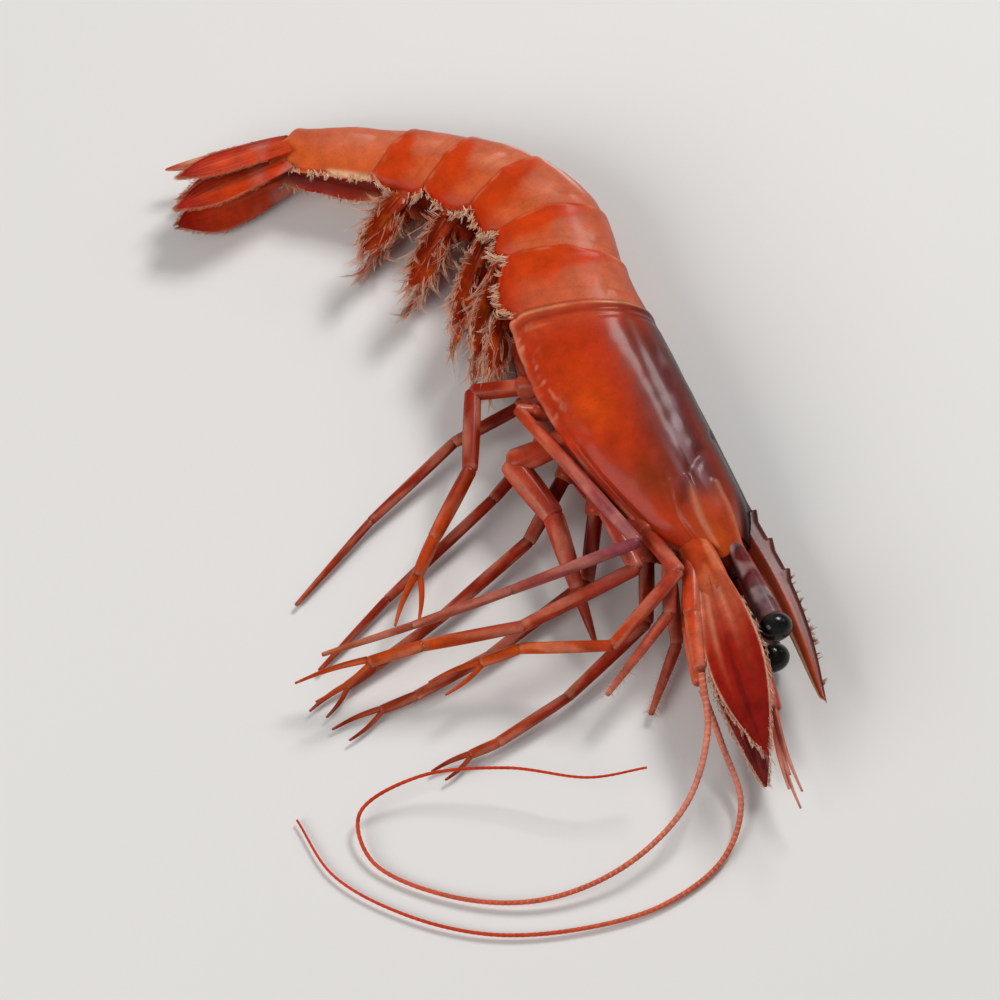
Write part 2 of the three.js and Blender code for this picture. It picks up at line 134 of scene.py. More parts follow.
# The body at its stations: five along the head shell, then one at the end of each tail plate.
HEADINGS = [117, 115, 111, 105, 98, 91, 109, 136, 150, 158, 169]  # tailwards, degrees from +X
HALF_DEPTHS = [5.0, 7.2, 8.6, 9.2, 8.8, 7.6, 7.3, 6.4, 5.4, 4.7, 3.2]
HALF_WIDTHS = [4.0, 5.7, 6.8, 7.2, 7.1, 6.6, 6.4, 5.9, 5.1, 4.2, 2.7]
MIDDLE_HEIGHTS = [6.3, 6.4, 6.5, 6.8, 6.8, 6.4, 6.2, 5.7, 4.9, 4.4, 4.2]
HEAD_TURN, HEAD_HEADING = 1.3, 96  # in front: degrees a mm, down to this heading
FLANK_SQUARENESS = 0.15
BACK_FULLNESS = 0.08  # how much wider the section is towards the back
PLATE_SLANT = 2.0  # how far forward a plate's edge runs at the back
FLOOR_GAP = 0.03  # nothing comes nearer to the board than this
UP = np.array([0.0, 0.0, 1.0])
STATIONS = np.cumsum([0, *[CARAPACE_LENGTH / 4] * 4, *SEGMENT_LENGTHS])
BODY_LENGTH = STATIONS[-1]
RIGHT_AND_LEFT = {"right": 1, "left": -1}


def ease(x, low, high):
    """0 up to low, 1 from high on, and a smooth S between them."""
    t = np.clip((x - low) / (high - low), 0, 1)
    return t * t * (3 - 2 * t)


def hump(x, middle, width):
    """A smooth hump, 1 at its middle and about a third of that one width away."""
    return np.exp(-(((x - middle) / width) ** 2))


def lerp(a, b, t):
    """The value a share t of the way from a to b."""
    return a + (b - a) * t


def column(*values):
    """One value for each ring, one below the other."""
    return np.array(values)[:, None]


def turns(count, start=0.0):
    """So many even angles round a section, as a row."""
    return np.linspace(start, start + 2 * np.pi, count, endpoint=False)[None, :]


def along(values):
    """A curve through one value for each station, level past both ends. Between two stations it is
    the cubic that has the values there, and the slopes that their neighbours give."""
    values = np.array(values, float)
    slopes = np.gradient(values)
    slopes[1:-1] = (values[2:] - values[:-2]) / (STATIONS[2:] - STATIONS[:-2])
    slopes[[0, -1]] /= np.diff(STATIONS)[[0, -1]]

    def at(s):
        s = np.clip(s, 0, BODY_LENGTH)
        low = np.clip(np.searchsorted(STATIONS, s, side="right") - 1, 0, len(values) - 2)
        span = STATIONS[low + 1] - STATIONS[low]
        u = (s - STATIONS[low]) / span
        bow = slopes[low] * u * (1 - u) ** 2 - slopes[low + 1] * u * u * (1 - u)
        return lerp(values[low], values[low + 1], u * u * (3 - 2 * u)) + span * bow

    return at


half_depth_at, half_width_at = along(HALF_DEPTHS), along(HALF_WIDTHS)
height_at, shell_heading_at = along(MIDDLE_HEIGHTS), along(HEADINGS)


def heading_at(s):
    """The body line's heading in degrees: the curve through HEADINGS, and in front of the shell a
    steady turn down to HEAD_HEADING."""
    s = np.asarray(s, float)
    in_front = np.maximum(HEADINGS[0] + HEAD_TURN * s, HEAD_HEADING)
    return np.where(s < 0, in_front, shell_heading_at(s))


LINE_START, LINE_STEP = -40, 0.1  # the body line, walked from in front of the rostrum's tip
line_s = np.arange(LINE_START, BODY_LENGTH + 2, LINE_STEP)
line_turns = np.radians(heading_at(line_s + LINE_STEP / 2))
line_x = np.concatenate([[0], np.cumsum(np.cos(line_turns) * LINE_STEP)[:-1]])
line_y = np.concatenate([[0], np.cumsum(np.sin(line_turns) * LINE_STEP)[:-1]])
line_x += HEAD_POINT[0] - np.interp(0, line_s, line_x)
line_y += HEAD_POINT[1] - np.interp(0, line_s, line_y)


def in_body(s, to_back, to_right):
    """The point at s along the body line, so far out to the back and so far up to the right."""
    s, to_back, to_right = np.broadcast_arrays(np.asarray(s, float), to_back, to_right)
    heading = np.radians(heading_at(s))
    x = np.interp(s, line_s, line_x) + np.sin(heading) * to_back
    y = np.interp(s, line_s, line_y) - np.cos(heading) * to_back
    return np.stack([x, y, height_at(s) + to_right], -1)


def back_way(s):
    """The level direction at s from the body line to the back."""
    heading = np.radians(heading_at(s))
    return np.stack([np.sin(heading), -np.cos(heading), np.zeros_like(heading)], -1)


def above_board(points):
    """The same points, raised to lie on the board where they were lower."""
    return np.concatenate([points[..., :2], np.maximum(points[..., 2:], FLOOR_GAP)], -1)


def on_shell(s, angle, size=1.0, relief=0.0, squareness=FLANK_SQUARENESS):
    """The point of the shell at an angle round the body: 0 at the back, positive to the right.
    The section is an ellipse with full flanks, fuller with more squareness, and wider towards the
    back; relief stands out from it."""
    width = (half_width_at(s) * size + relief) * (1 + BACK_FULLNESS * np.cos(angle))
    side = np.sign(np.sin(angle)) * np.abs(np.sin(angle)) ** (1 - squareness)
    depth = np.cos(angle) * (half_depth_at(s) * size + relief)
    return above_board(in_body(s, depth, width * side))


def plate_slant(angle):
    """How far a plate's edge runs tailwards at an angle: a cosine, forward at the back of the
    animal, and nothing at the belly."""
    belly = ease(np.abs(angle), np.radians(130), np.radians(180))
    return -PLATE_SLANT * np.cos(angle) * (1 - belly)


def unevenness(points, size, seed, waves=14):
    """A smooth random value, mostly from -1 to 1, that changes over about that size in mm: waves in
    random directions, added up."""
    draw = np.random.default_rng(seed)
    ways = draw.normal(size=(waves, 3))
    steepness = 2 * np.pi / (size * draw.uniform(1.4, 3.0, waves))
    ways *= (steepness / np.linalg.norm(ways, axis=1))[:, None]
    shifts = draw.uniform(0, 2 * np.pi, waves)
    return np.sin(points @ ways.T + shifts).sum(-1) / np.sqrt(waves) / 1.2


def tinted(base, *layers):
    """The base colour, or tints, with layers laid over in turn: each a colour and its cover."""
    tint = linear(base) if isinstance(base, str) else base
    for colour, cover in layers:
        tint = tint + (linear(colour) - tint) * np.clip(cover, 0, 1)[..., None]
    return tint


PIGMENT_DEPTH, PIGMENT_GAIN = 1.16, 0.92  # the wet film greys the colours: deeper pigment


def piece(name, skins, material, stands_for=None):
    """One mesh made of closed skins, each of rings of points in mm and a tint for each point, or
    of a batch of such strands. Quads join each ring to the next, and a fan closes each end on the
    middle of its last ring. A skin that comes out inside out is turned round."""
    points, tints, corners, sizes = [], [], [], []
    first = 0
    for rings, tint in skins:
        count, around = rings.shape[-3:-1]
        tint = np.broadcast_to(tint, rings.shape).reshape(-1, count, around, 3)
        rings = rings.reshape(-1, count, around, 3)
        batch = len(rings)
        ends, end_tints = rings[:, [0, -1]].mean(2), tint[:, [0, -1]].mean(2)
        points.append(np.concatenate([rings.reshape(batch, -1, 3), ends], 1).reshape(-1, 3))
        tints.append(np.concatenate([tint.reshape(batch, -1, 3), end_tints], 1).reshape(-1, 3))
        i, j = np.arange(count - 1)[:, None] * around, np.arange(around)
        k = (j + 1) % around
        quads = np.stack([i + j, i + k, i + around + k, i + around + j], -1).reshape(-1, 4)
        last = (count - 1) * around
        low_pole, high_pole = np.full(around, count * around), np.full(around, count * around + 1)
        fans = np.concatenate([np.stack([low_pole, k, j], -1),
                               np.stack([high_pole, last + j, last + k], -1)])
        starts = first + np.arange(batch) * (count * around + 2)
        middle = rings.mean((1, 2), keepdims=True)
        a, b, c = [(rings - middle).reshape(batch, -1, 3)[:, quads[:, n]] for n in (0, 1, 2)]
        inside_out = np.einsum("bqi,bqi->b", a, np.cross(b, c)) < 0
        for faces in (quads, fans):
            faces = np.where(inside_out[:, None, None], faces[None, :, ::-1], faces[None])
            corners.append((faces + starts[:, None, None]).ravel())
            sizes.append(np.full(batch * faces.shape[1], faces.shape[2]))
        first += batch * (count * around + 2)
    points = (np.concatenate(points) - MIDDLE_OF_ALL) * MM
    tints = [PIGMENT_GAIN * tint**PIGMENT_DEPTH for tint in tints]
    corners, sizes = np.concatenate(corners), np.concatenate(sizes)
    mesh = bpy.data.meshes.new(name)
    mesh.vertices.add(len(points))
    mesh.vertices.foreach_set("co", points.astype(np.float32).ravel())
    mesh.loops.add(len(corners))
    mesh.loops.foreach_set("vertex_index", corners.astype(np.int32))
    mesh.polygons.add(len(sizes))
    mesh.polygons.foreach_set("loop_start", (np.cumsum(sizes) - sizes).astype(np.int32))
    mesh.update(calc_edges=True)
    mesh.shade_smooth()
    tint_attribute = mesh.attributes.new("tint", "FLOAT_COLOR", "POINT")
    tints = np.concatenate([np.concatenate(tints), np.ones((len(points), 1))], 1)
    tint_attribute.data.foreach_set("color", tints.astype(np.float32).ravel())
    mesh.materials.append(material)
    made = bpy.data.objects.new(name, mesh)
    bpy.context.scene.collection.objects.link(made)
    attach(made, "root")
    if stands_for:
        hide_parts(stands_for)


CHITIN_IOR, WATER_IOR = 1.42, 1.33
UNDER_WATER_GLOSS = 0.12  # the shell's own reflection is weak below the water
SCATTER, SCATTER_MM, SCATTER_BY_COLOUR = 0.2, 1.2, (1.0, 0.25, 0.1)
CREASE_MM = 0.06
FRECKLE_COLOUR = "#7a1604"


def wet_chitin(name, mottle_mm, mottle, pit_mm, pit_height_mm, roughness, film, film_roughness):
    """Thin chitin, grown by the animal and rinsed with water. The tint has uneven pigment and dark
    freckles in it, and scatters light a little way in. Shallow creases and pits break up the gloss
    of the film of water on top. Real pits are about 0.05 mm across, which is too fine to show, so
    they are drawn at pit_mm."""
    material = bpy.data.materials.new(name)
    material.use_nodes = True
    tree = material.node_tree
    shader = tree.nodes["Principled BSDF"]
    place = add_node(tree, "ShaderNodeTexCoord").outputs["Object"]
    tint = add_node(tree, "ShaderNodeAttribute", attribute_name="tint").outputs["Color"]
    blotch = add_node(tree, "ShaderNodeTexNoise", {
        "Vector": place, "Scale": 1 / (mottle_mm * MM), "Detail": 6, "Roughness": 0.6})
    depth = add_node(tree, "ShaderNodeMapRange", {
        "Value": blotch.outputs["Fac"], "From Min": 0.32, "From Max": 0.68,
        "To Min": 1 - mottle, "To Max": 1 + mottle})
    uneven = add_node(tree, "ShaderNodeVectorMath", {
        "Vector": tint, "Scale": depth.outputs["Result"]}, operation="SCALE")
    grain = add_node(tree, "ShaderNodeTexNoise", {
        "Vector": place, "Scale": 1 / (pit_mm * MM), "Detail": 3, "Roughness": 0.6})
    freckle = add_node(tree, "ShaderNodeMapRange", {
        "Value": grain.outputs["Fac"], "From Min": 0.52, "From Max": 0.8,
        "To Min": 0, "To Max": 0.3})
    colour = add_node(tree, "ShaderNodeMix", {  # sockets 0, 6 and 7: the cover and two colours
        0: freckle.outputs["Result"], 6: uneven.outputs["Vector"], 7: rgba(FRECKLE_COLOUR)},
        data_type="RGBA")
    tree.links.new(colour.outputs[2], shader.inputs["Base Color"])
    gloss = add_node(tree, "ShaderNodeMapRange", {
        "Value": blotch.outputs["Fac"], "From Min": 0.3, "From Max": 0.7,
        "To Min": roughness * 0.8, "To Max": roughness * 1.25})
    tree.links.new(gloss.outputs["Result"], shader.inputs["Roughness"])
    creases = add_node(tree, "ShaderNodeBump", {
        "Height": blotch.outputs["Fac"], "Distance": CREASE_MM * MM, "Strength": 0.5})
    pits = add_node(tree, "ShaderNodeBump", {
        "Height": grain.outputs["Fac"], "Distance": pit_height_mm * MM, "Strength": 0.6,
        "Normal": creases.outputs["Normal"]})
    tree.links.new(pits.outputs["Normal"], shader.inputs["Normal"])
    shader.inputs["IOR"].default_value = CHITIN_IOR
    shader.inputs["Specular IOR Level"].default_value = UNDER_WATER_GLOSS
    shader.inputs["Subsurface Weight"].default_value = SCATTER
    shader.inputs["Subsurface Radius"].default_value = SCATTER_BY_COLOUR
    shader.inputs["Subsurface Scale"].default_value = SCATTER_MM * MM
    shader.inputs["Coat Weight"].default_value = film
    shader.inputs["Coat Roughness"].default_value = film_roughness
    shader.inputs["Coat IOR"].default_value = WATER_IOR
    return material


CARAPACE_RINGS, CARAPACE_POINTS = 230, 360
FRONT_OPENING = 0.68  # the head shell's size at its front edge
LOWER_EDGE = 150  # degrees round the body, where the shell ends and the belly starts
BELLY_STEP = 1.0  # how far the belly lies inside the shell's lower edge
MM_A_DEGREE = 0.14  # how wide a degree round the body is, for lines drawn on the shell


def near_line(s, degrees, bends, width):
    """1 on a line over the shell and fading with distance from it, by a hump. The line joins its
    bends, each at a distance along the body and an angle in degrees, by straight stretches."""
    x, y = s, degrees * MM_A_DEGREE
    nearest = np.full(x.shape, 1e3)
    for (s0, a0), (s1, a1) in zip(bends, bends[1:]):
        dx, dy, from_y = s1 - s0, (a1 - a0) * MM_A_DEGREE, a0 * MM_A_DEGREE
        t = np.clip(((x - s0) * dx + (y - from_y) * dy) / (dx * dx + dy * dy), 0, 1)
        nearest = np.minimum(nearest, np.hypot(x - s0 - t * dx, y - from_y - t * dy))
    return hump(nearest, 0, width)


def front_edge(degrees):
    """Where the head shell starts: notched round the eye, with a point below it, and further back
    low on the flank."""
    return 1.2 * hump(degrees, 36, 15) - 1.3 * hump(degrees, 62, 8) + 3.4 * ease(degrees, 95, 150)


def shell_grid(first, last, rings, points):
    """A grid over a shell: t along it, the angle round it, and degrees from the back."""
    angle = turns(points, -np.pi)
    t = np.linspace(first, last, rings)[:, None] + 0 * angle
    return t, angle, np.degrees(np.abs(angle)) + 0 * t


t, angle, degrees = shell_grid(0, 1, CARAPACE_RINGS, CARAPACE_POINTS)
start, end = front_edge(degrees), CARAPACE_LENGTH + plate_slant(angle)
s = lerp(start, end, t)
size = 1 - (1 - FRONT_OPENING) * (1 - np.minimum(t / 0.16, 1)) ** 2
to_end, to_start = end - s, s - start
belly = ease(degrees, LOWER_EDGE, LOWER_EDGE + 3)
bare = on_shell(s, angle)
neck_groove = near_line(s, degrees, [(14.5, 12), (12.5, 45), (10.5, 72), (7.5, 98)], 0.75)
gill_groove = near_line(s, degrees, [(11.5, 66), (20, 62), (31, 58)], 0.8)
cheek_groove = near_line(s, degrees, [(10.5, 98), (6.5, 112), (3, 116)], 0.6)
cheek_ridge = near_line(s, degrees, [(9.5, 82), (5, 92), (1.5, 96)], 0.45)
eye_ridge = near_line(s, degrees, [(7.5, 58), (3, 60), (-0.5, 62)], 0.5)
# a painted highlight: the line of a pale streak over the violet of the back
painted_highlight_line = near_line(s, degrees, [(27, 36), (20, 54), (13, 74)], 0.8)
relief = (
    -0.22 * neck_groove - 0.10 * gill_groove - 0.3 * cheek_groove
    + 0.3 * cheek_ridge + 0.22 * eye_ridge
    + 0.5 * hump(degrees, 0, 7) * ease(s, 34, 12)  # the ridge that runs on into the rostrum
    # the rolled rim at the back, with a groove on each side of it
    - 0.12 * hump(to_end, 1.3, 0.4) + 0.08 * hump(to_end, 0.4, 0.35) - 0.06 * hump(to_end, 2.3, 0.3)
    # the thick lower edge, with a groove above it
    + 0.14 * hump(degrees, LOWER_EDGE - 2.5, 2.2) - 0.12 * hump(degrees, LOWER_EDGE - 8, 3)
    + 0.12 * unevenness(bare, 5.0, 3) + 0.02 * unevenness(bare, 1.6, 4)
    # wrinkles low on the flank, over the gills
    + 0.16 * np.abs(unevenness(bare, 2.2, 5)) * ease(degrees, 112, 135) * ease(s, 16, 26)
    - BELLY_STEP * belly
) * ease(to_start, 0, 1.2)
mottle = ease(unevenness(bare, 1.1, 6) + 0.8 * unevenness(bare, 0.5, 7), 0.1, 1.6)
# a grey haze over the violet: partly cloudy pigment, partly painted sheen
haze_and_painted_sheen = ease(unevenness(np.stack([s * 0.25, degrees * 0.16, 0 * s], -1), 1.3, 8), -0.3, 0.9)
violet_edge = lerp(94, 70, ease(t, 0.2, 0.9))  # where the violet of the back gives way to orange
shell_tint = tinted(
    "#a03a18",
    # the orange flank: brightest over the gills, clay-coloured before them, salmon at the rear
    ("#bf3c0e", ease(degrees, violet_edge - 6, violet_edge + 16)),
    ("#cc4a06", 0.95 * hump(t, 0.66, 0.17) * hump(degrees, 112, 24)),
    ("#d8580c", 0.55 * hump(t, 0.60, 0.07) * hump(degrees, 114, 13)),
    ("#93431c", 0.75 * hump(t, 0.30, 0.11) * hump(degrees, 106, 20)),
    ("#c4532e", 0.85 * ease(t, 0.84, 0.97) * ease(degrees, 45, 80)),
    # the violet above it, with a grey haze in it that is partly cloudy pigment and partly painted
    # sheen, and a painted highlight streak
    ("#703432", 0.95 * hump(degrees, violet_edge - 26, 24) * ease(s, 3, 9)
     * ease(-t, -0.95, -0.74)),
    ("#a68088", 0.75 * haze_and_painted_sheen * hump(degrees, violet_edge - 15, 13) * hump(t, 0.38, 0.17)),
    ("#c4a4ac", 0.45 * painted_highlight_line * ease(unevenness(bare, 1.6, 11), -0.7, 0.5)),
    ("#5c2a30", 0.45 * (1 - haze_and_painted_sheen) * hump(degrees, violet_edge - 28, 12) * hump(t, 0.4, 0.25)),
    # the cheek, and its pale ridges
    ("#bd4e2c", 0.9 * ease(-s, -9, -5) * hump(degrees, 88, 36)),
    ("#d2601c", 0.8 * hump(s, 1.5, 3.0) * hump(degrees, 94, 22)),
    ("#e09a72", 0.5 * (cheek_ridge + 0.8 * eye_ridge) * ease(-s, -10, -7)),
    # the dark back, which reddens towards the first tail plate
    ("#3c0f0c", ease(-degrees, -50, -22)),
    ("#22090b", 0.8 * ease(-degrees, -34, -8)),
    ("#741c10", 0.8 * ease(t, 0.82, 1.0) * ease(-degrees, -56, -20)),
    # the grooves are darker; the wrinkles, the rolled rim and the lower edge are pale
    ("#8a2a14", 0.5 * hump(to_end, 1.3, 0.4) * ease(degrees, 20, 60)),
    ("#5a1c14", 0.35 * (neck_groove + gill_groove * 0.3) * ease(degrees, 20, 60)),
    ("#dc9a80", 0.6 * mottle * ease(degrees, 124, 138) * ease(t, 0.45, 0.7)),
    ("#dba67e", 0.7 * hump(to_end, 0.35, 0.2) * ease(degrees, 12, 50)
     * ease(unevenness(bare, 3.0, 10), -1.0, 0.2)),
    ("#d69c74", 0.3 * hump(to_end, 2.3, 0.2) * ease(unevenness(bare, 2.5, 12), -0.2, 0.6)
     * ease(degrees, 30, 60)),
    ("#d9a184", 0.6 * hump(degrees, LOWER_EDGE - 2, 2.4)
     * ease(unevenness(bare, 2.5, 9), -0.4, 0.6)),
    ("#8e3420", belly),
)
closing = np.linspace(0.06, 0.93, 12)[:, None]  # how far out each ring is that closes an end
face_s = lerp(-1.4, start[:1] + 0.9, closing**2)
face = on_shell(face_s, angle, FRONT_OPENING * closing)
lip = on_shell(start[:1] + column(0.5, 0.12), angle, FRONT_OPENING * column(0.95, 0.985))
rear_inset = on_shell(
    end[:1] - column(0.0, 0.5), angle, column(0.985, 0.94), -BELLY_STEP * belly[-1:])
rear = on_shell(end[:1] - 1.2, angle, closing[::-1] * 0.98)
outer = on_shell(s, angle, size, relief)
face_tint = tinted("#a3442c", ("#5d1a12", ease(-closing, -0.8, -0.3) + 0 * angle))
rear_tint = np.broadcast_to(linear("#7d2418"), rear.shape)
carapace_skin = (
    np.concatenate([face, lip, outer, rear_inset, rear]),
    np.concatenate([face_tint, np.repeat(shell_tint[:1], 2, 0), shell_tint,
                    np.repeat(shell_tint[-1:], 2, 0), rear_tint]),
)

ROSTRUM_LENGTH, ROSTRUM_ROOT = 30, 10
ROSTRUM_RINGS, ROSTRUM_POINTS = 150, 36
TEETH, TOOTH_LENGTH = (0.20, 0.33, 0.46), 0.05  # as shares of the rostrum's length
TOOTH_HEIGHT = 0.55


def rostrum_shape(t):
    """The spike's station, ridge height and half depth from its root to its tip: it sinks like a
    sine, and its depth falls with the cube of t."""
    ridge = lerp(7.6, 4.7, np.sin(np.pi / 2 * t)) - 1.7 * t * t
    return ROSTRUM_ROOT - ROSTRUM_LENGTH * t, ridge, lerp(1.75, 0.25, t**3)


t = np.linspace(0, 1, ROSTRUM_RINGS)[:, None]
round_it = turns(ROSTRUM_POINTS)
upwards, sideways = np.cos(round_it), np.sin(round_it)
station, ridge, half_depth = rostrum_shape(t)
tooth = sum(np.clip(1 - (t - at) / TOOTH_LENGTH, 0, 1) * (t > at) for at in TEETH)
half_depth = half_depth * (1 - 0.9 * ease(t, 0.97, 1.0))
depth = upwards * half_depth + TOOTH_HEIGHT * tooth * (upwards > 0.6)
blade_width = lerp(1.1, 0.22, t) * np.abs(sideways) ** 0.8 * np.sign(sideways)
side_rib = 0.25 * hump(upwards, -0.15, 0.25) * np.sign(sideways) * (1 - t)
rostrum_points = in_body(station, ridge - half_depth + depth, blade_width + side_rib)
rostrum_tint = tinted(
    "#86320f",
    ("#36100f", ease(-t, -0.42, -0.1) + 0 * round_it),
    ("#8f3a24", 0.8 * hump(upwards, -0.1, 0.35) * ease(t, 0.3, 0.6)),
    ("#4a1412", 0.7 * ease(upwards + 0 * t, 0.2, 0.9)),
    ("#e0bb98", 0.9 * ease(-upwards, 0.62, 0.9) * ease(t, 0.4, 0.55)),
    ("#c65a24", 0.6 * hump(upwards, 0.0, 0.35) * ease(t, 0.35, 0.6)),
)

# The head shell is the thickest and smoothest, so it gives the eye the sharpest highlights, drawn
# out along the back, over a cloudy haze in its tint that is partly pigment and partly painted
# sheen.
head_shell = wet_chitin(
    "wet_chitin_head", mottle_mm=2.6, mottle=0.17, pit_mm=0.3, pit_height_mm=0.03,
    roughness=0.42, film=0.3, film_roughness=0.18)
piece("carapace_shell", [carapace_skin, (rostrum_points, rostrum_tint)], head_shell,
      "carapace")

# ---- The six tail plates ------------------------------------------------------------------
# Each tail segment is one hoop of shell. Its back edge lies over the next one, its lower corners
# hang down as rounded lobes, and the last ones carry a low keel. Clearer shell lets the salmon
# flesh show, with a painted highlight laid over it; the lobes and a wedge before each back edge
# hold the deep orange pigment.
PLATE_RINGS, PLATE_POINTS = 104, 320
PLATE_TUCK = 0.6  # how far the front of a plate goes under the edge before it
PLATE_LAP = 0.2  # how far its back edge stands over the next plate
PLATE_FLARE = 0.045  # how much smaller its front is than its back edge, as a share
LOBE_FULLNESS = 0.09  # how far its lower lobes bulge, as a share
LAST = len(SEGMENT_LENGTHS) - 1
KEELS = [0, 0, 0.3, 0.45, 0.5, 0.4]  # height of the ridge along the back of each plate
# The tail's shell is thinner and clearer, and bends over the flesh: it gives the eye a softer,
# broader sheen, and pale patches in the tint where the flesh shows, partly painted highlight.
tail_shell = wet_chitin(
    "wet_chitin_tail", mottle_mm=2.2, mottle=0.16, pit_mm=0.28, pit_height_mm=0.02,
    roughness=0.46, film=0.2, film_roughness=0.25)


def lobe_edge(t, index):
    """The angle in degrees at which a plate's lower edge is, rounded at both corners of a lobe by
    a flattened sine."""
    lowest, corner = (168, 22) if index < LAST else (156, 7)
    return lowest - corner * (1 - np.sin(np.pi * np.clip(t, 0, 1)) ** 0.6)


def lobe_squareness(degrees):
    """Lower down, the plates hang straighter than the section's ellipse."""
    return FLANK_SQUARENESS + 0.32 * ease(degrees, 95, 150)


for index, length in enumerate(SEGMENT_LENGTHS):
    station, keel = STATIONS[4 + index], KEELS[index]
    t, angle, degrees = shell_grid(
        -PLATE_TUCK / length, 1 + PLATE_LAP / length, PLATE_RINGS, PLATE_POINTS)
    slant = plate_slant(angle) + (0.9 * keel * hump(degrees, 0, 7) + 0.3 * hump(degrees, 86, 9)) * t
    s = station + length * t + slant
    to_end = (1 - t) * length + PLATE_LAP
    bulge = np.sin(np.pi * np.clip(t, 0, 1)) - 0.5
    size = (1 - PLATE_FLARE * (1 - t)) * (1 + LOBE_FULLNESS * ease(degrees, 90, 140) * bulge)
    squareness = lobe_squareness(degrees)
    edge = lobe_edge(t, index)
    belly = ease(degrees, edge, edge + 3.0)
    bare = on_shell(s, angle)
    relief = (
        0.03 * hump(to_end, 0.3, 0.3) - 0.03 * hump(to_end, 1.1, 0.5)
        + keel * hump(degrees, 0, 6.5) * ease(t, -0.1, 0.7)
        + 0.16 * hump(degrees, edge - 2.5, 2.2) - 0.12 * hump(degrees, edge - 9, 4)
        + 0.10 * unevenness(bare, 4.0, 20) + 0.03 * unevenness(bare, 1.3, 30)
        - 1.3 * BELLY_STEP * belly
    )
    mottle = ease(unevenness(bare, 2.4, 40 + index), -0.3, 0.9)
    streaks = ease(unevenness(bare * [1, 1, 2.2], 1.4, 50 + index), 0.2, 1.0)
    wedge = 92 - 44 * ease(t, 0.5, 0.95)  # how far up the flank the deep orange reaches
    plate_tint = tinted(
        "#ce6a48",
        # high on the flank: partly pale flesh through the clear shell, partly a painted highlight,
        # with paler streaks
        ("#e08c68", (0.5 + 0.4 * ease(s, 44, 60)) * (0.5 + 0.5 * mottle) * hump(degrees, 68, 28)
         * hump(t, 0.25, 0.32)),
        ("#ecb8a4", 0.4 * streaks * hump(degrees, 60, 14) * hump(t, 0.30, 0.22)),
        ("#dc7240", 0.8 * ease(degrees, 84, 104) * ease(s, 36, 52)),
        # the deep orange of the wedge and the lobe
        ("#cf4703", 0.95 * ease(degrees, wedge - 8, wedge + 16)
         * (0.15 + 0.85 * ease(t, 0.2, 0.65)) * (index < LAST)),
        ("#d8682e", 0.8 * ease(degrees, wedge + 8, wedge + 40) * (index == LAST)),
        ("#c93c02", 0.75 * ease(degrees, 122, 150) * (1 if index < LAST else 0.3)),
        # the back: dark on the first plate, violet along the ridge further on, mottled on the
        # fourth and fifth, and with a painted highlight line beside it on the third and fourth
        ("#7c2418" if index == 0 else "#b0523a", 0.7 * ease(-degrees, -40, -12)),
        ("#7c3a44", 0.6 * hump(degrees, 3, 8) * ease(index + t, 1.0, 2.0)),
        ("#8c4326", 0.5 * mottle * hump(degrees, 42, 13) * hump(t, 0.86, 0.12)
         * (index in (3, 4))),
        # a painted highlight: a near-white line along the back
        ("#f3ded2", 0.65 * hump(degrees, 37, 4.5) * ease(s, 49, 53) * ease(-s, -66, -60)),
        # the shade under the edge before it, and the pale back and lower edges
        ("#a8401c", 0.15 * hump(t, 0.26, 0.03) * ease(degrees, 15, 40) * (index < LAST)),
        ("#6a1d0e", 0.75 * ease(-t * length, -0.55, -0.1) * (1 if index else 0.5)),
        ("#e0a080", 0.35 * hump(to_end, 0.22, 0.2)
         * ease(unevenness(bare, 1.2, 60 + index), -0.4, 0.9)),
        ("#ecc79c", 0.8 * hump(degrees, edge - 1.2, 1.8)
         * ease(unevenness(bare, 1.0, 70 + index), -0.7, 0.5)),
        ("#efcfa8", (index == LAST) * ease(unevenness(bare, 2.0, 80), -0.9, 0.0)
         * hump(degrees, 145, 7)),
        ("#a3160a", (index == LAST) * 0.9 * hump(degrees, 158, 5)),
        ("#7d2412", belly),
    )
    closing = np.linspace(0.06, 0.95, 8)[:, None]
    front = on_shell(s[:1] + 0.1, angle, size[:1] * closing, relief[:1] * closing, squareness[:1])
    lip = on_shell(s[-1:] - column(0.03, 0.5), angle, size[-1:] * column(0.982, 0.94),
                   relief[-1:], squareness[:1])
    rear = on_shell(s[-1:] - 1.1, angle, size[-1:] * closing[::-1] * 0.98,
                    relief[-1:] * closing[::-1], squareness[:1])
    inner = np.broadcast_to(linear("#7d2616"), front.shape)
    skin = (
        np.concatenate([front, on_shell(s, angle, size, relief, squareness), lip, rear]),
        np.concatenate([inner, plate_tint, np.repeat(plate_tint[-1:], 2, 0), inner]),
    )
    number = index + 1
    piece(f"tail_plate_{number}", [skin], tail_shell, f"tail_segment_{number}")

# ---- Hairs along the lobes and the rostrum ------------------------------------------------
# Stiff cream hairs grow along the lower edge of each lobe, and shorter ones along the rostrum's
# ridge, in front of its teeth. Wet, they cling in pointed tufts.
TUFTS_A_LOBE, HAIRS_A_TUFT, ROSTRUM_TUFTS = 26, 6, 26
HAIR_STATIONS = np.array([0, 0.3, 0.6, 0.85, 1.0])[None, :, None]
HAIR_TAPER = 0.83
ASKEW = [0.31, 0.52, 0.80]  # a direction that hardly any hair takes


def unit(vectors):
    """The same directions, one long."""
    return vectors / np.linalg.norm(vectors, axis=-1, keepdims=True)


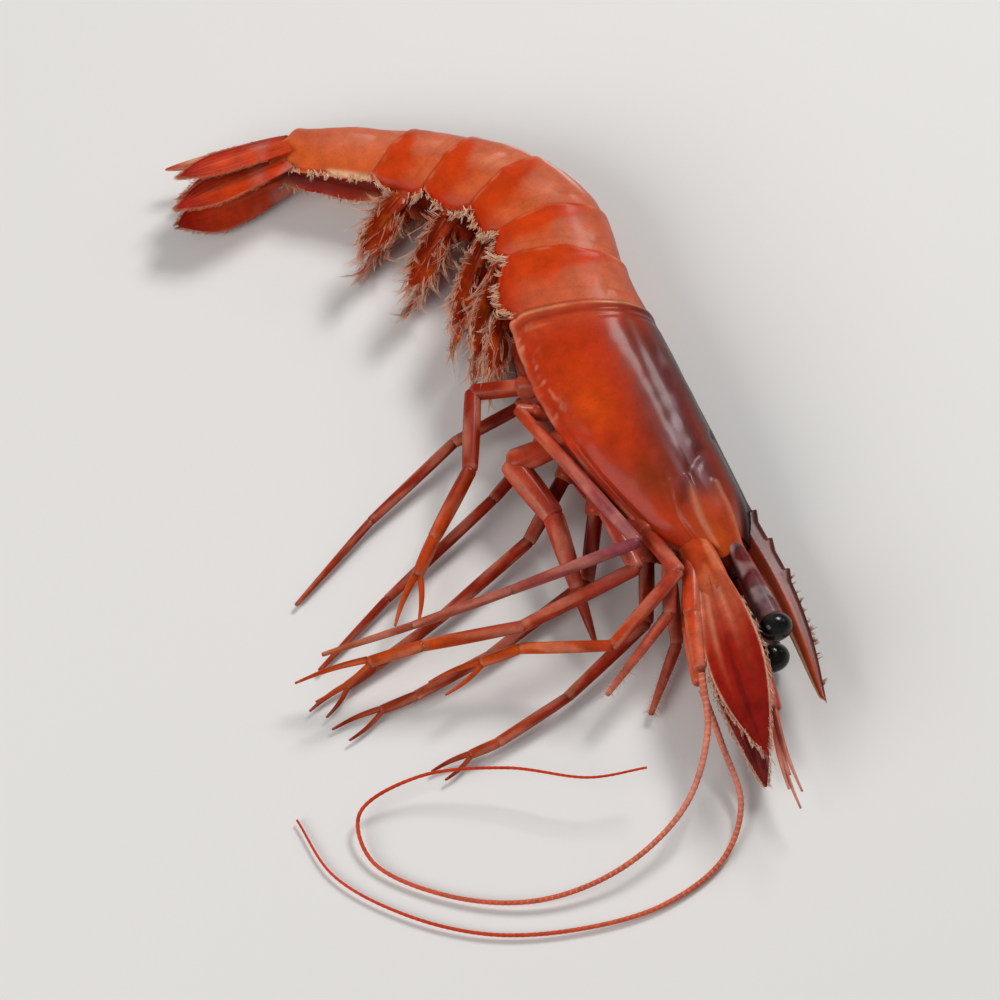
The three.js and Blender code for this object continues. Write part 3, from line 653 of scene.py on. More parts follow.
def hairs(roots, ways, lengths, width, bends):
    """Hairs with three sides: each runs from its root along its way, turns evenly by its bend and
    narrows to a sixth of its width. All of them are worked out at once."""
    t = HAIR_STATIONS
    reach = lengths[:, None, None]
    line = roots[:, None] + reach * (ways[:, None] * t + bends[:, None] * t * t)
    across = unit(np.cross(ways, ASKEW))
    face = unit(np.cross(ways, across))
    turn = np.radians([0, 120, 240])[:, None]
    section = np.cos(turn) * across[:, None, None] + np.sin(turn) * face[:, None, None]
    return above_board(line[:, :, None] + 0.5 * width * (1 - HAIR_TAPER * t[..., None]) * section)


# Bristles of the same chitin, thin as thread and without pigment: they give the eye a matt cream
# fringe that darkens towards the roots. Real ones are about 0.03 mm thick, too fine to show, so
# they are drawn 0.06 to 0.15 mm thick.
damp_hair = wet_chitin(
    "damp_hair", mottle_mm=0.9, mottle=0.2, pit_mm=0.2, pit_height_mm=0.005,
    roughness=0.5, film=0.15, film_roughness=0.3)
draw = np.random.default_rng(11)


def tufts(roots, ways, lengths, spread, width, root_colour, tip_colour, curl=0.12):
    """Wet pointed tufts: each one's hairs start spread apart and run to one point, not quite all
    the way. Some tufts are paler than others."""
    starts = roots[:, None] + draw.normal(0, spread, (len(roots), HAIRS_A_TUFT, 3))
    points = (roots + ways * lengths[:, None])[:, None] + draw.normal(0, 0.08, starts.shape)
    spans = (points - starts).reshape(-1, 3)
    bends = np.repeat(draw.normal(0, curl, (len(roots), 3)), HAIRS_A_TUFT, 0)
    reaches = np.linalg.norm(spans, axis=1) * draw.uniform(0.75, 1.05, len(spans))
    strands = hairs(starts.reshape(-1, 3), unit(spans), reaches, width, bends)
    paleness = np.repeat(draw.uniform(0.5, 1.0, (len(roots), 1, 1)), HAIRS_A_TUFT, 0)
    cover = paleness * (0.45 + 0.55 * HAIR_STATIONS) + 0 * strands[..., 0]
    return strands, tinted(root_colour, (tip_colour, cover))


tuft_skins = []
for index, length in enumerate(SEGMENT_LENGTHS):
    for sign in RIGHT_AND_LEFT.values():
        t = np.sort(draw.uniform(0.04, 0.98, TUFTS_A_LOBE))
        s = STATIONS[4 + index] + length * t
        edge = lobe_edge(t, index) - 5.0
        angle = sign * np.radians(edge)
        size = (1 - PLATE_FLARE * (1 - t)) * (1 + LOBE_FULLNESS * (np.sin(np.pi * t) - 0.5))
        roots = on_shell(s + plate_slant(angle), angle, size, 0.0, lobe_squareness(edge))
        heading = np.radians(heading_at(s))
        tailwards = np.stack([np.cos(heading), np.sin(heading), 0 * s], -1)
        scatter = draw.normal(0, 0.28, roots.shape)
        ways = unit(-back_way(s) + 0.3 * sign * UP - 0.15 * tailwards + scatter)
        lengths = draw.uniform(0.8, 1.7, len(t)) * (1 if index < LAST else 0.6)
        tuft_skins.append(tufts(roots, ways, lengths, 0.2, 0.15, "#e89a6c", "#ffe4cc"))
piece("lobe_hairs", tuft_skins, damp_hair)

t = np.sort(draw.uniform(0.48, 0.93, ROSTRUM_TUFTS))
station, ridge, half_depth = rostrum_shape(t)
roots = in_body(station, ridge - 0.1, 0.0)
ways = unit(back_way(station) + 0.3 * UP + draw.normal(0, 0.25, roots.shape))
bristles = tufts(roots, ways, draw.uniform(0.4, 0.9, len(t)), 0.12, 0.1, "#8a4a34", "#f0d2bc")
piece("rostrum_hairs", [bristles], damp_hair)

# ---- Tail fan -----------------------------------------------------------------------------
# The last segment carries the telson, a stiff grooved spike, and on each side two thin blades
# with a raised midrib and fine rays, folded half over each other below it.
FAN_ROOT = BODY_LENGTH - 0.6
TAIL_BACK = back_way(BODY_LENGTH)
TELSON_LENGTH, TELSON_HEADING = 15, 183
FAN_BLADES = {  # out to the back, to the side, heading, length, width
    "inner": (0.1, 2.5, 190, 13.5, 4.704),
    "outer": (-1.7, 1.8, 198, 14.5, 5.6),
}
FAN_WIDEST = 0.62
RAY_HEIGHT = 0.02
# Blades as thin as a nail, with no flesh in them: they give the eye a clear wet gloss, broken by
# their rays, and the darkest red where they lie over each other.
fan_shell = wet_chitin(
    "wet_chitin_fan", mottle_mm=1.6, mottle=0.24, pit_mm=0.25, pit_height_mm=0.025,
    roughness=0.42, film=0.35, film_roughness=0.2)


def compass(degrees):
    """The level direction at so many degrees from +X."""
    return np.array([np.cos(np.radians(degrees)), np.sin(np.radians(degrees)), 0.0])


def eased_rows(rings):
    """A column of shares from 0 to 1, closer together at both ends, as a sine gives them."""
    return (np.sin(np.linspace(-0.5, 0.5, rings) * np.pi) * 0.5 + 0.5)[:, None]


def leaf(root, tip, normal, width, root_width, thickness, widest, rib=0.0, rays=0, cup=0.0,
         rings=76, around=96):
    """A thin leaf from root to tip, with its t along it and x across it, -1 to 1. It widens like a
    quarter wave up to its widest place and closes like a cosine. Across, its face is an arch, with
    a midrib, fine rays and edges cupped by cup, and it thins towards its tip."""
    axis = tip - root
    across = unit(np.cross(normal, axis))
    face = unit(np.cross(axis, across))
    t, turn = eased_rows(rings), turns(around)
    x, y = np.cos(turn), np.sin(turn)
    grow = lerp(root_width, width, np.sin(np.clip(t / widest, 0, 1) * np.pi / 2))
    close = width * np.cos(np.clip((t - widest) / (1 - widest), 0, 1) * np.radians(86))
    spread = 0.5 * np.where(t < widest, grow, close)
    plump = thickness * (1 - 0.5 * t) * np.sqrt(1 - 0.99 * t**6)
    lift = 0.5 * plump * np.sign(y) * np.abs(y) ** 0.75
    ray_relief = RAY_HEIGHT * np.cos(rays * x) * ease(np.abs(y), 0.2, 0.6) * (rays > 0)
    lift = lift + np.sign(y) * (rib * hump(x, 0, 0.13) * (1 - t) + ray_relief)
    lift = lift + cup * x * x * spread / width
    line = root + t[..., None] * axis
    points = line + (spread * x)[..., None] * across + lift[..., None] * face
    return points, t + 0 * x, x + 0 * t


def leaf_edges(points, rings):
    """The points of a leaf's two edges on some of its rings."""
    return points[rings][:, [0, points.shape[1] // 2]].reshape(-1, 3)


def fan_root(to_back, to_right):
    """A point inside the last plate's opening, where the fan is hinged."""
    return in_body(FAN_ROOT, to_back, to_right)


telson_tip = fan_root(1.7, -0.4) + TELSON_LENGTH * compass(TELSON_HEADING)
points, t, x = leaf(fan_root(1.7, 0), telson_tip, TAIL_BACK, 3.6, 3.2, 2.0, 0.12, rib=-0.5)
telson_tint = tinted(
    "#c9481f",
    ("#dca587", 0.85 * hump(x, 0.35, 0.35) * ease(t, 0.08, 0.25)
     * ease(unevenness(points, 1.6, 90), -0.9, 0.3)),
    ("#b02a10", 0.8 * ease(np.abs(x), 0.75, 0.95)),
    ("#9c3a2c", 0.6 * ease(-t, -0.12, -0.02)),
    ("#eac6a8", 0.85 * ease(np.abs(x), 0.5, 0.95) * hump(t, 0.66, 0.2)
     * ease(unevenness(points, 1.6, 91), -1.0, 0.2)),
)
piece("telson_spike", [(points, telson_tint)], fan_shell, "telson")

fringe_skins = []
for side, sign in RIGHT_AND_LEFT.items():
    for place, (to_back, to_side, heading, length, width) in FAN_BLADES.items():
        root = fan_root(to_back, sign * to_side)
        tip = root + length * compass(heading)
        normal = sign * UP + 0.5 * TAIL_BACK
        points, t, x = leaf(
            root, tip, normal, width, 3.6, 0.85, FAN_WIDEST, rib=0.3, rays=20, cup=0.5)
        patch = ease(unevenness(points, 2.2, 92 + len(fringe_skins)), -0.4, 0.8)
        blade_tint = tinted(
            "#c9471b",
            ("#c2786a", 0.9 * patch * ease(-t, -0.45, -0.2)),
            ("#d2603a", 0.7 * hump(x, 0, 0.2) * ease(-t, -0.9, -0.5)),
            ("#a0230f", 0.8 * ease(-x * sign, 0.3, 0.9)),
            ("#981610", 0.75 * ease(t, 0.6, 0.95)),
            ("#dba088", 0.45 * ease(np.abs(x), 0.93, 1.0) * ease(t, 0.3, 0.5)),
        )
        blade = f"{place}_{side}"
        piece(f"fan_blade_{blade}", [(points, blade_tint)], fan_shell, f"tail_blade_{blade}")
        rim = leaf_edges(points, slice(24, None))
        outward = unit(rim - lerp(root, tip, FAN_WIDEST))
        ways = unit(0.5 * outward + compass(heading) + draw.normal(0, 0.08, rim.shape))
        lengths = draw.uniform(0.3, 0.8, len(rim))
        fringe_skins.append(tufts(rim, ways, lengths, 0.12, 0.06, "#c04a26", "#ec9c74"))
piece("fan_hairs", fringe_skins, damp_hair)

# ---- Eyes ---------------------------------------------------------------------------------
# Each eye is a round cornea over dark pigment, black with a green shine, on a short stalk of
# greyish violet skin that swings in the notch of the head shell.
EYE_RADIUS = 1.9
EYE_RINGS, EYE_POINTS = 48, 64
BLUNTNESS = 0.6  # how much of its radius a tube takes to round over at its ends
# A clear lens over black: it gives the eye the one sharp, dark gleam on the animal.
cornea_gloss = wet_chitin(
    "wet_cornea", mottle_mm=1.2, mottle=0.3, pit_mm=0.18, pit_height_mm=0.01,
    roughness=0.25, film=0.6, film_roughness=0.08)
# Soft skin, speckled with pigment: it gives the eye a dull, uneven wet sheen.
stalk_skin = wet_chitin(
    "wet_stalk_skin", mottle_mm=1.0, mottle=0.25, pit_mm=0.2, pit_height_mm=0.02,
    roughness=0.45, film=0.35, film_roughness=0.2)


def frame_of(way):
    """The level direction across a way, and the one square to both."""
    across = unit(np.cross(UP, way))
    return across, np.cross(way, across)


def stretch(start, end, start_radius, end_radius, flat=1.0, bow=(0, 0, 0), rings=26, around=26):
    """One hard tube between two joints, with its t along it and its turn round it. It overlaps
    each joint by almost half a radius, ends like a ball, and is fullest near its middle. flat
    squeezes it upwards and downwards, bow bends its middle, and a groove runs along its upper
    side."""
    axis = end - start
    way = unit(axis)
    across, face = frame_of(way)
    lap = 0.45 * min(start_radius, end_radius)
    length = np.linalg.norm(axis) + 2 * lap
    t, turn = eased_rows(rings) * 0.996 + 0.002, turns(around)
    radius = lerp(start_radius, end_radius, t) * (0.86 + 0.22 * np.sin(np.pi * (0.1 + 0.72 * t)))
    to_ends = np.minimum(t * length / start_radius, (1 - t) * length / end_radius)
    radius = radius * np.sqrt(1 - (1 - np.clip(to_ends / BLUNTNESS, 0, 1)) ** 2) + 0.01
    line = start - way * lap + t * length * way + np.sin(np.pi * t) * np.asarray(bow, float)
    groove = 1 - 0.13 * hump(np.sin(turn), 0.45, 0.22) * np.sin(np.pi * t)
    ring = np.cos(turn)[..., None] * across + flat * np.sin(turn)[..., None] * face
    points = line[:, None] + (radius * groove)[..., None] * ring
    return above_board(points), t + 0 * turn, turn + 0 * t


for side, sign in RIGHT_AND_LEFT.items():
    centre = in_body(-11, -0.2, sign * 3.7)
    foot = in_body(0.5, 1.4, sign * 2.4)
    way = unit(centre - foot)
    across, face = frame_of(way)
    polar = np.linspace(0.03, np.pi - 0.03, EYE_RINGS)[:, None, None]
    turn = turns(EYE_POINTS)[..., None]
    bulge = 1 + 0.05 * np.cos(2 * turn + 1) * np.sin(polar)
    round_way = np.cos(turn) * across + 0.92 * np.sin(turn) * face
    cornea = centre + EYE_RADIUS * (-0.9 * np.cos(polar) * way + np.sin(polar) * bulge * round_way)
    cornea_tint = tinted(
        "#0e1314",
        ("#26332c", ease(unevenness(cornea, 1.6, 95), 0, 1)),
        ("#6a5052", ease(np.cos(polar[..., 0]) + 0 * turn[..., 0], 0.72, 0.9)),
    )
    stalk, t, turn = stretch(foot, centre - way * 0.9, 1.0, 1.45, rings=60, around=40)
    stalk_tint = tinted(
        "#7c5c60",
        # painted shade: darker towards the root, in the notch of the head shell
        ("#6e2420", ease(-t, -0.72, -0.4)),
        ("#a8392a", 0.7 * ease(np.cos(turn), 0.2, 0.9)),
        ("#3c2428", 0.8 * ease(unevenness(stalk * [1, 1, 2], 1.0, 96), 0, 1)),
        # a painted highlight: a pale streak along one side
        ("#c9b4b0", 0.6 * hump(np.sin(turn), 0.7, 0.3)
         * ease(unevenness(stalk, 1.6, 97), -0.3, 0.6)),
    )
    piece(f"eyeball_{side}", [(cornea, cornea_tint)], cornea_gloss, f"eye_{side}")
    piece(f"eye_stalk_{side}", [(stalk, stalk_tint)], stalk_skin)

# ---- Antennules, scales and antenna stems -------------------------------------------------
# In front of the mouth: two short antennules, each with a three-part stem and two thin ends, two
# broad clear scales edged with pale hair, and the stout orange stems of the long antennae.
FEELER_ENDS = ((0.35, -31), (-0.3, -28.5))  # of the two thin ends: how far up, and the station
# Hard tubes and blades, thicker than the fan: they give the eye narrow wet highlights along their
# length, over streaky pigment and, on the tubes, a painted highlight along their upper side.
limb_shell = wet_chitin(
    "wet_chitin_limb", mottle_mm=1.5, mottle=0.22, pit_mm=0.22, pit_height_mm=0.02,
    roughness=0.42, film=0.35, film_roughness=0.18)


def jointed(joints, radii, colours, flats=None, seed=0, pale=0.0, bow=0.0):
    """Stretches through the joints, each tinted evenly from its first colour to its second, darker
    at the joints, and with a painted highlight in pale streaks along its upper side."""
    skins = []
    flats = flats or [1] * len(joints)
    for i, (start, end) in enumerate(zip(joints, joints[1:])):
        length = np.linalg.norm(end - start)
        bend = bow * length * np.cross(unit(end - start), UP)
        points, t, turn = stretch(start, end, radii[i], radii[i + 1], flats[i], bend)
        base = lerp(linear(colours[i]), linear(colours[i + 1]), ease(t, 0.15, 0.9)[..., None])
        dark = 0.4 * (hump(t, 0, 0.05) + hump(t, 1, 0.04))
        streaks = ease(unevenness(
            np.stack([0.3 * length * t, np.cos(turn), np.sin(turn)], -1), 0.9, seed + i), -0.3, 0.8)
        # the pale streaks along the upper side are a painted highlight; the band near the stretch's
        # end is pale too
        light = pale * streaks * hump(np.sin(turn), 0.6, 0.6) + 0.25 * hump(t, 0.95, 0.02)
        skins.append((points, tinted(base, ("#5f1a12", dark), ("#e3a48a", 0.8 * light))))
    return skins


for side, sign in RIGHT_AND_LEFT.items():
    joints = [in_body(s, to_back, sign * to_right) for s, to_back, to_right in (
        (0.5, -1.8, 1.3), (-9, -2.8, 1.35), (-15, -3.0, 1.4), (-20, -3.2, 1.5))]
    skins = jointed(joints, [0.9, 1.0, 0.9, 0.8], ["#8f2415", "#a62a18", "#a83022", "#b04230"],
                    [1.1, 1.1, 1, 1], seed=100, pale=0.6)
    for out, reach in FEELER_ENDS:
        thin_end = [joints[-1] + sign * out * UP,
                    in_body(reach, -3.6 + out, sign * (1.9 + 0.5 * out))]
        skins += jointed(thin_end, [0.34, 0.12], ["#b5523f", "#c88a78"], seed=105, pale=0.3,
                         bow=0.03)
    piece(f"feeler_{side}", skins, limb_shell, f"antennule_{side}")

    root, tip = in_body(-1.5, -3.4, sign * 3.4), in_body(-26.5, -6.0, sign * 4.0)
    normal = UP - 0.6 * sign * back_way(-12)
    points, t, x = leaf(root, tip, normal, 7.0, 3.6, 0.85, 0.45, rib=0.25, rays=22, cup=0.9,
                        rings=110, around=140)
    grain = unevenness(np.stack([x * 2.2, t * 1.2, x * 0], -1), 0.7, 110)
    scale_tint = tinted(
        "#a02008",
        ("#cc6a48", 0.7 * ease(grain, 0.0, 1.0) * ease(-t, -0.8, -0.25)),
        ("#c8694a", 0.8 * ease(-t, -0.42, -0.08)),
        ("#7c1004", 0.6 * ease(t, 0.45, 0.85)),
        ("#e0a88c", 0.7 * hump(grain, 0.9, 0.25) * ease(-t, -0.7, -0.2)),
        ("#5e0c06", 0.5 * hump(grain, -0.8, 0.3) * ease(t, 0.2, 0.5)),
        ("#eec4a4", 0.8 * ease(np.abs(x), 0.9, 0.99) * ease(t, 0.12, 0.3)),
    )
    foot, base_end = in_body(3.5, -2.2, sign * 2.2), lerp(root, tip, 0.13)
    base, base_t, base_x = leaf(foot, base_end, normal, 4.4, 4.0, 2.6, 0.7)
    fibres = unevenness(np.stack([base_x * 2.6, base_t * 1.0, base_x * 0], -1), 0.7, 112)
    base_tint = tinted("#bb4a20", ("#dd8c60", 0.6 * ease(fibres, 0.0, 1.0)),
                       ("#c4603c", 0.9 * ease(base_t, 0.45, 0.85)))
    piece(f"scale_{side}", [(points, scale_tint), (base, base_tint)], limb_shell,
          f"antennal_scale_{side}")
    rim = leaf_edges(points, slice(30, 100, 2))
    outward = unit(rim - lerp(root, tip, 0.5))
    ways = unit(0.5 * outward + unit(tip - root) + draw.normal(0, 0.15, rim.shape))
    fringe = tufts(rim, ways, draw.uniform(0.5, 1.3, len(rim)), 0.16, 0.08, "#b5563c", "#ffdcc4")
    piece(f"scale_hairs_{side}", [fringe], damp_hair)

    joints = [in_body(s, to_back, sign * to_right) for s, to_back, to_right in (
        (2, -3.6, 2.0), (-4, -7.4, 2.2), (-12, -9.7, 1.8))]
    stem = jointed(joints, [1.0, 1.1, 0.75], ["#b8401c", "#cc5226", "#d0603c"], seed=120, pale=0.5)
    piece(f"stem_{side}", stem, limb_shell, f"antenna_stem_{side}")

# ---- Antenna whips ------------------------------------------------------------------------
# Each antenna runs out into a string of hundreds of short rings, limp and wet, which comes down
# in loops on to the board.
ANTENNA_ROUTES = {
    "right": [(18.3, -29.3, 8), (17.8, -36, 6.4), (14, -43.5, 4.2), (6, -49, 2.2),
              (-4, -51, 1.1), (-14, -48.5, 0.7), (-21.5, -43, 0.9), (-22, -37.5, 1.9),
              (-15, -34.6, 3.1), (-5, -35.5, 4), (4, -38.5, 4.6), (10.5, -38.5, 5)],
    "left": [(18.4, -29.4, 4.2), (19.6, -36, 2.8), (20.5, -43, 1.6), (17.5, -49, 0.8),
             (10, -53.5, 0.6), (0, -55, 0.6), (-10, -54, 0.6), (-19, -50, 0.6),
             (-26, -44, 0.6), (-29, -36.5, 0.6)],
}
RING_SPACING = 0.7  # real rings are about 0.3 mm apart, too fine to show
WHIP_RADII = (0.42, 0.14)  # at the stem and at the end
WHIP_RINGS, WHIP_POINTS = 900, 10
# Chitin in rings, each with a pale soft seam: it gives the eye a fine beaded glitter.
whip_skin = wet_chitin(
    "wet_whip", mottle_mm=1.4, mottle=0.2, pit_mm=0.2, pit_height_mm=0.01,
    roughness=0.45, film=0.25, film_roughness=0.25)


def smooth_route(points, samples):
    """An even walk along a smooth curve through the points, and its length: between two of them
    it is the cubic with centripetal slopes, so that close points don't make loops."""
    points = np.array(points, float)
    before, after = 2 * points[:1] - points[1:2], 2 * points[-1:] - points[-2:-1]
    points = np.concatenate([before, points, after])
    gaps = np.sqrt(np.linalg.norm(np.diff(points, axis=0), axis=1))[:, None]
    steps = np.diff(points, axis=0) / gaps
    slopes = steps[:-1] - (points[2:] - points[:-2]) / (gaps[:-1] + gaps[1:]) + steps[1:]
    u = np.linspace(0, 1, 60, endpoint=False)[:, None]
    a, b, gap = points[1:-2, None], points[2:-1, None], gaps[1:-1, None]
    m0, m1 = slopes[:-1, None] * gap, slopes[1:, None] * gap
    curve = a + (b - a) * u * u * (3 - 2 * u) + m0 * u * (1 - u) ** 2 - m1 * u * u * (1 - u)
    curve = np.concatenate([curve.reshape(-1, 3), points[-2:-1]])
    walked = np.concatenate([[0], np.cumsum(np.linalg.norm(np.diff(curve, axis=0), axis=1))])
    even = np.linspace(0, walked[-1], samples)
    return np.stack([np.interp(even, walked, curve[:, i]) for i in range(3)], -1), walked[-1]


for side, route in ANTENNA_ROUTES.items():
    line, length = smooth_route(route, WHIP_RINGS)
    across, face = frame_of(unit(np.gradient(line, axis=0)))
    t, turn = np.linspace(0, 1, WHIP_RINGS)[:, None], turns(WHIP_POINTS)
    beat = np.cos(2 * np.pi * t * length / RING_SPACING)
    radius = lerp(*WHIP_RADII, t**0.8) * (1 + 0.06 * beat)
    ring = np.cos(turn)[..., None] * across[:, None] + np.sin(turn)[..., None] * face[:, None]
    points = line[:, None] + radius[..., None] * ring
    whip_tint = tinted(
        "#d0684a",
        ("#c8441c", ease(t, 0.35, 0.8) + 0 * turn),
        ("#e2a890", 0.6 * ease(beat, 0.2, 0.9) * ease(-t, -0.6, -0.2) + 0 * turn),
        ("#dba08e", 0.6 * hump(t, 0.12, 0.1) + 0 * turn),
    )
    piece(f"whip_{side}", [(points, whip_tint)], whip_skin, f"antenna_whip_{side}")

# ---- Mouth legs and walking legs ----------------------------------------------------------
# Thin hard tubes joined by soft skin. The mouth legs are fringed with hair and folded forward.
# Of the five pairs of walking legs, the first three end in slender two-fingered claws.
MOUTH_LEG_JOINTS = {  # its knee and its end
    "right": [(16.2, -20.5, 6.9), (7.7, -28.5, 4.6)],
    "left": [(16.9, -22.0, 2.2), (12.5, -30.0, 1.2)],
}
HAIR_PLACES, HAIRS_A_PLACE = 60, 4
for side, sign in RIGHT_AND_LEFT.items():
    joints = [in_body(5, -4.6, sign * 1.7), *np.array(MOUTH_LEG_JOINTS[side])]
    skins = jointed(joints, [0.85, 0.75, 0.3], ["#a8381e", "#b8503a", "#b5614e"], [0.8, 0.7],
                    seed=130, pale=0.5)
    start, end = joints[1:]
    count = HAIR_PLACES * HAIRS_A_PLACE
    places = np.repeat(np.linspace(0.05, 0.98, HAIR_PLACES), HAIRS_A_PLACE)[:, None]
    roots = lerp(start, end, places) + draw.normal(0, 0.15, (count, 3))
    forward = unit(end - start)
    sideways = 0.9 * np.cross(UP, forward) * draw.choice([-1, 1], (count, 1))
    ways = unit(0.5 * forward + sideways + draw.normal(0, 0.3, (count, 3)))
    lengths = draw.uniform(0.5, 1.3, count)
    strands = hairs(roots, ways, lengths, 0.06, draw.normal(0, 0.15, (count, 3)))
    strand_tint = tinted("#b5614a", ("#e6b9a2", draw.uniform(0, 1, (count, 1, 1))))
    skins.append((strands, strand_tint))
    piece(f"mouth_limb_{side}", skins, limb_shell, f"mouth_leg_{side}")

LEGS = {  # its station on the body, if it has a claw, radii at its joints, and for each stretch
    # its heading in degrees, its length and how high its end is
    "right_1": (9, True, [0.95, 0.85, 0.7, 0.65, 0.25],
                [(-68, 8.0, 10.2), (-142, 11.1, 7.6), (168, 10.4, 6.0), (-172, 10.8, 3.8)]),
    "right_2": (18, True, [1.0, 0.9, 0.75, 0.7, 0.25],
                [(-76, 14.2, 9.0), (-161, 14.6, 8.0), (180, 11.4, 6.8), (-177, 14.8, 3.6)]),
    "right_3": (29.5, True, [1.05, 1.0, 0.9, 0.75, 0.25],
                [(171, 6.9, 7.6), (-101, 10.1, 7.3), (-127, 8.8, 5.2), (-122, 11.4, 3.4)]),
    "right_4": (26, False, [0.8, 0.75, 0.75, 0.6, 0.5, 0.25],
                [(176, 3.2, 10.0), (-63, 22.8, 11.9), (-169, 15.3, 10.2), (-172, 11.6, 8.2),
                 (-174, 10.6, 6.4)]),
    "right_5": (22, False, [1.3, 1.65, 1.35, 0.8, 0.25],
                [(-175, 6.2, 6.6), (-64, 8.1, 6.2), (-82, 9.2, 4.8), (-80, 6.5, 2.6)]),
    "left_1": (8, True, [0.9, 0.8, 0.65, 0.6, 0.25],
               [(-100, 9.0, 3.4), (-144, 12.9, 2.4), (-155, 9.4, 1.6), (-166, 8.2, 0.7)]),
    "left_2": (16, True, [0.9, 0.8, 0.65, 0.6, 0.25],
               [(-106, 9.3, 2.1), (-149, 14.6, 1.8), (-159, 9.7, 1.2), (-166, 10.3, 0.7)]),
    "left_3": (21, True, [0.9, 0.8, 0.65, 0.6, 0.25],
               [(-127, 10.0, 3.0), (-146, 14.4, 2.0), (-151, 9.2, 1.3), (-153, 8.9, 0.7)]),
    "left_4": (25.5, False, [0.8, 0.7, 0.55, 0.25],
               [(-139, 9.9, 3.0), (-144, 17.2, 1.4), (-140, 11.7, 0.7)]),
    "left_5": (30, False, [0.8, 0.7, 0.55, 0.25],
               [(-162, 10.0, 3.0), (-144, 13.6, 1.6), (-138, 13.5, 0.7)]),
}
LEG_COLOURS = {  # at its joints
    "right_1": ["#a8381a", "#b24a34", "#b8481c", "#c8560f", "#bc4810"],
    "right_2": ["#a22e16", "#ae4a38", "#ad4428", "#c25214", "#b84610"],
    "right_3": ["#b03c14", "#98280c", "#98300f", "#bc4c14", "#c85a14"],
    "right_4": ["#b84a28", "#bd4a22", "#9a5058", "#a6554a", "#aa5a44", "#b8683f"],
    "right_5": ["#b34020", "#bb4624", "#b34630", "#a84430", "#983a20"],
}
# the legs under the body: the same reds, darkened by painted shade
UNDER_LEG_COLOURS_IN_PAINTED_SHADE = ["#84240e", "#962e14", "#963218", "#a84420", "#92300d"]
LEG_FLATS = [0.8, 0.75, 0.85, 0.9, 1.0]
PALM_SHARE = 0.42  # of the last stretch of a leg with a claw
for index, (name, (root_at, claw, radii, stretches)) in enumerate(LEGS.items()):
    sign = 1 if name.startswith("right") else -1
    seed = 140 + 7 * index
    joints = [in_body(root_at, 1.6 - half_depth_at(root_at), sign * 2.2)]
    for heading, length, height in stretches:
        place = joints[-1] + length * compass(heading)
        joints.append(np.array([place[0], place[1], height]))
    colours = LEG_COLOURS.get(name, UNDER_LEG_COLOURS_IN_PAINTED_SHADE)
    if claw:  # the last stretch is a palm and two curved fingers
        wrist, tip = joints[-2:]
        palm_end, palm = lerp(wrist, tip, PALM_SHARE), radii[-2] * 1.05
        way = tip - wrist
        aside = 0.2 * np.linalg.norm(way) * unit(np.cross(UP, way))
        skins = jointed(joints[:-1] + [palm_end], radii[:-2] + [palm, palm * 0.85],
                        colours[:-1] + colours[-2:-1], LEG_FLATS, seed, 0.5)
        fingers = ((tip, -0.08, 0.62, 0.04), (tip + aside - 0.12 * way, 0.12, 0.52, -0.05))
        for finger_tip, out, thick, bow in fingers:
            skins += jointed([palm_end + aside * out, finger_tip], [thick * palm, 0.14],
                             colours[-2:], [0.9], seed + 3, 0.3, bow)
    else:
        skins = jointed(joints, radii, colours, LEG_FLATS, seed, 0.5)
    hip, knee = joints[0], joints[1]
    leg_way = unit(knee - hip)
    skins += jointed([hip - 1.2 * leg_way, hip + 1.5 * leg_way], [radii[0] * 1.3, radii[0] * 1.25],
                     ["#a8442c", "#b04a2e"], seed=seed + 1, pale=0.2)
    piece(f"leg_{name}", skins, limb_shell, f"walking_leg_{name}")

# ---- Swimmerets ---------------------------------------------------------------------------
# Five pairs of swimming legs: a short stout base, and on it a soft leaf and a smaller one behind,
# edged with long cream hairs that cling together when wet.
SWIMMERET_LENGTHS = [9.4, 13.5, 13, 12, 10]
SWIMMERET_WAYS = [-112, -114, -118, -126, -132]  # headings in degrees
SWIMMERET_DROPS = {"right": 0.05, "left": 0.12}
LEAVES = (  # of the two: shift to the side, where it begins and ends on the limb, width
    (0.0, 0.14, 1.0, 3.8),
    (-0.55, 0.18, 0.82, 2.4),
)
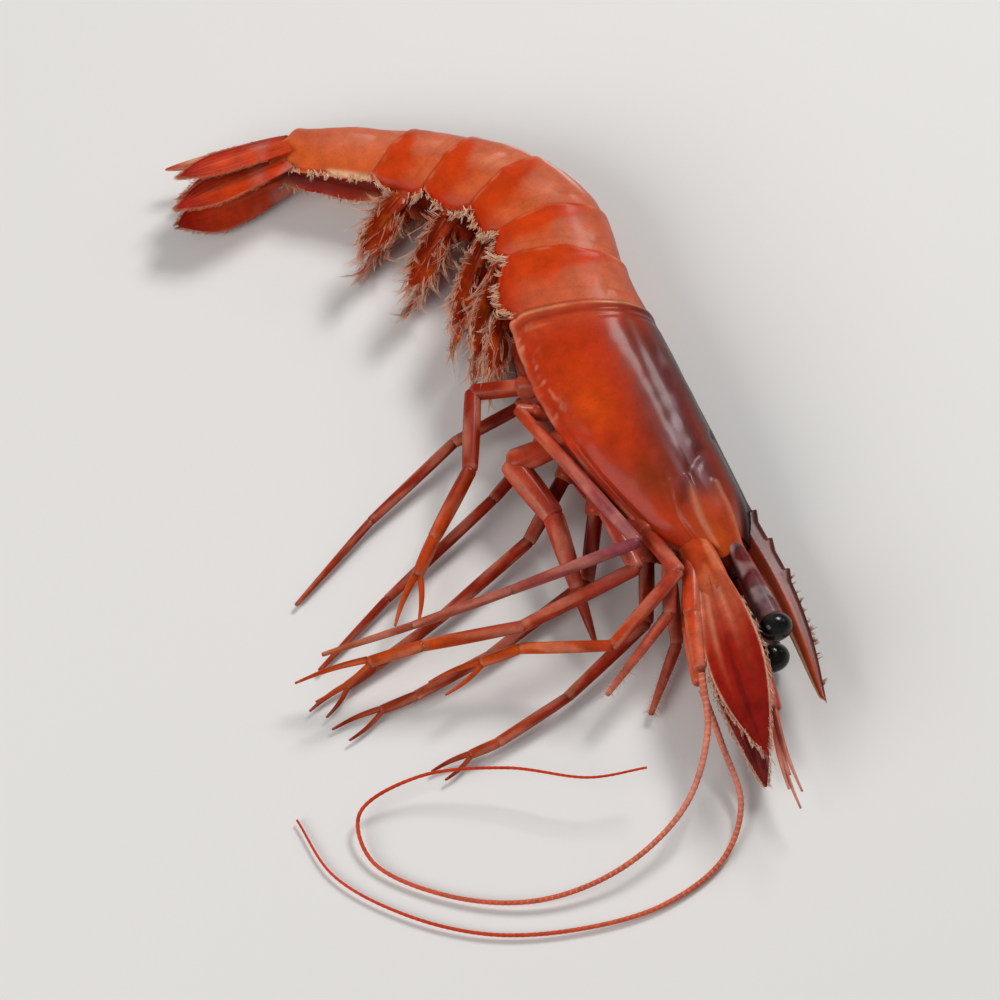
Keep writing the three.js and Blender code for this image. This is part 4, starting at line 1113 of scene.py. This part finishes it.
# Soft thin leaves, soaked through: they give the eye the dullest wet sheen and a blotchy red.
soft_leaf = wet_chitin(
    "damp_soft_leaf", mottle_mm=1.3, mottle=0.3, pit_mm=0.25, pit_height_mm=0.03,
    roughness=0.5, film=0.25, film_roughness=0.25)
for side, sign in RIGHT_AND_LEFT.items():
    for index, heading in enumerate(SWIMMERET_WAYS):
        seed = 220 + 10 * index + sign
        s = STATIONS[4 + index] + 0.55 * SEGMENT_LENGTHS[index]
        root = in_body(s, 1.2 - half_depth_at(s), sign * 2.1)
        way = compass(heading) - SWIMMERET_DROPS[side] * UP
        tip = root + way * SWIMMERET_LENGTHS[index]
        normal = -compass(heading - 90) + 0.8 * sign * UP
        skins = jointed([root - 0.8 * way, lerp(root, tip, 0.36)], [1.3, 0.8],
                        ["#b03a12", "#a8380f"], [0.5], seed, 0.1)
        across, span = unit(np.cross(normal, way)), tip - root
        strand_skins = []
        for shift, begin, reach, width in LEAVES:
            foot = root + begin * span + shift * across
            end = root + reach * span + 1.9 * shift * across - 0.35 * abs(shift) * unit(normal)
            points, t, x = leaf(foot, end, normal, width, 2.2, 0.7, 0.5, rib=0.18, rays=18,
                                cup=0.6, rings=50, around=60)
            leaf_tint = tinted(
                "#b03c10",
                ("#cf6428", 0.7 * ease(unevenness(points, 1.5, seed + 2), -0.3, 0.9)),
                ("#7d1d0c", 0.6 * ease(unevenness(points, 2.4, seed + 3), 0.1, 1)),
                ("#c98a66", 0.5 * ease(np.abs(x), 0.86, 1.0)),
                ("#b5542e", 0.5 * hump(x, 0, 0.12)),
            )
            skins.append((points, leaf_tint))
            rim = leaf_edges(points, slice(10, None, 3))
            outward = unit(rim - lerp(foot, end, 0.45))
            sweep = np.sin(np.arange(len(rim)) * 0.4 + index)[:, None] * across
            scatter = draw.normal(0, 0.15, rim.shape)
            ways = unit(0.55 * outward + 1.0 * unit(end - foot) + 0.25 * sweep + scatter)
            lengths = draw.uniform(0.9, 2.9, len(rim))
            strand_skins.append(
                tufts(rim, ways, lengths, 0.2, 0.11, "#cf5c36", "#ffd8bc", curl=0.35))
        number = f"{side}_{index + 1}"
        piece(f"swimming_leg_{number}", skins, soft_leaf, f"swimmeret_{number}")
        piece(f"swimming_hairs_{number}", strand_skins, damp_hair)

# ---- Last, the view layer is brought up to date -------------------------------------------
bpy.context.view_layer.update()
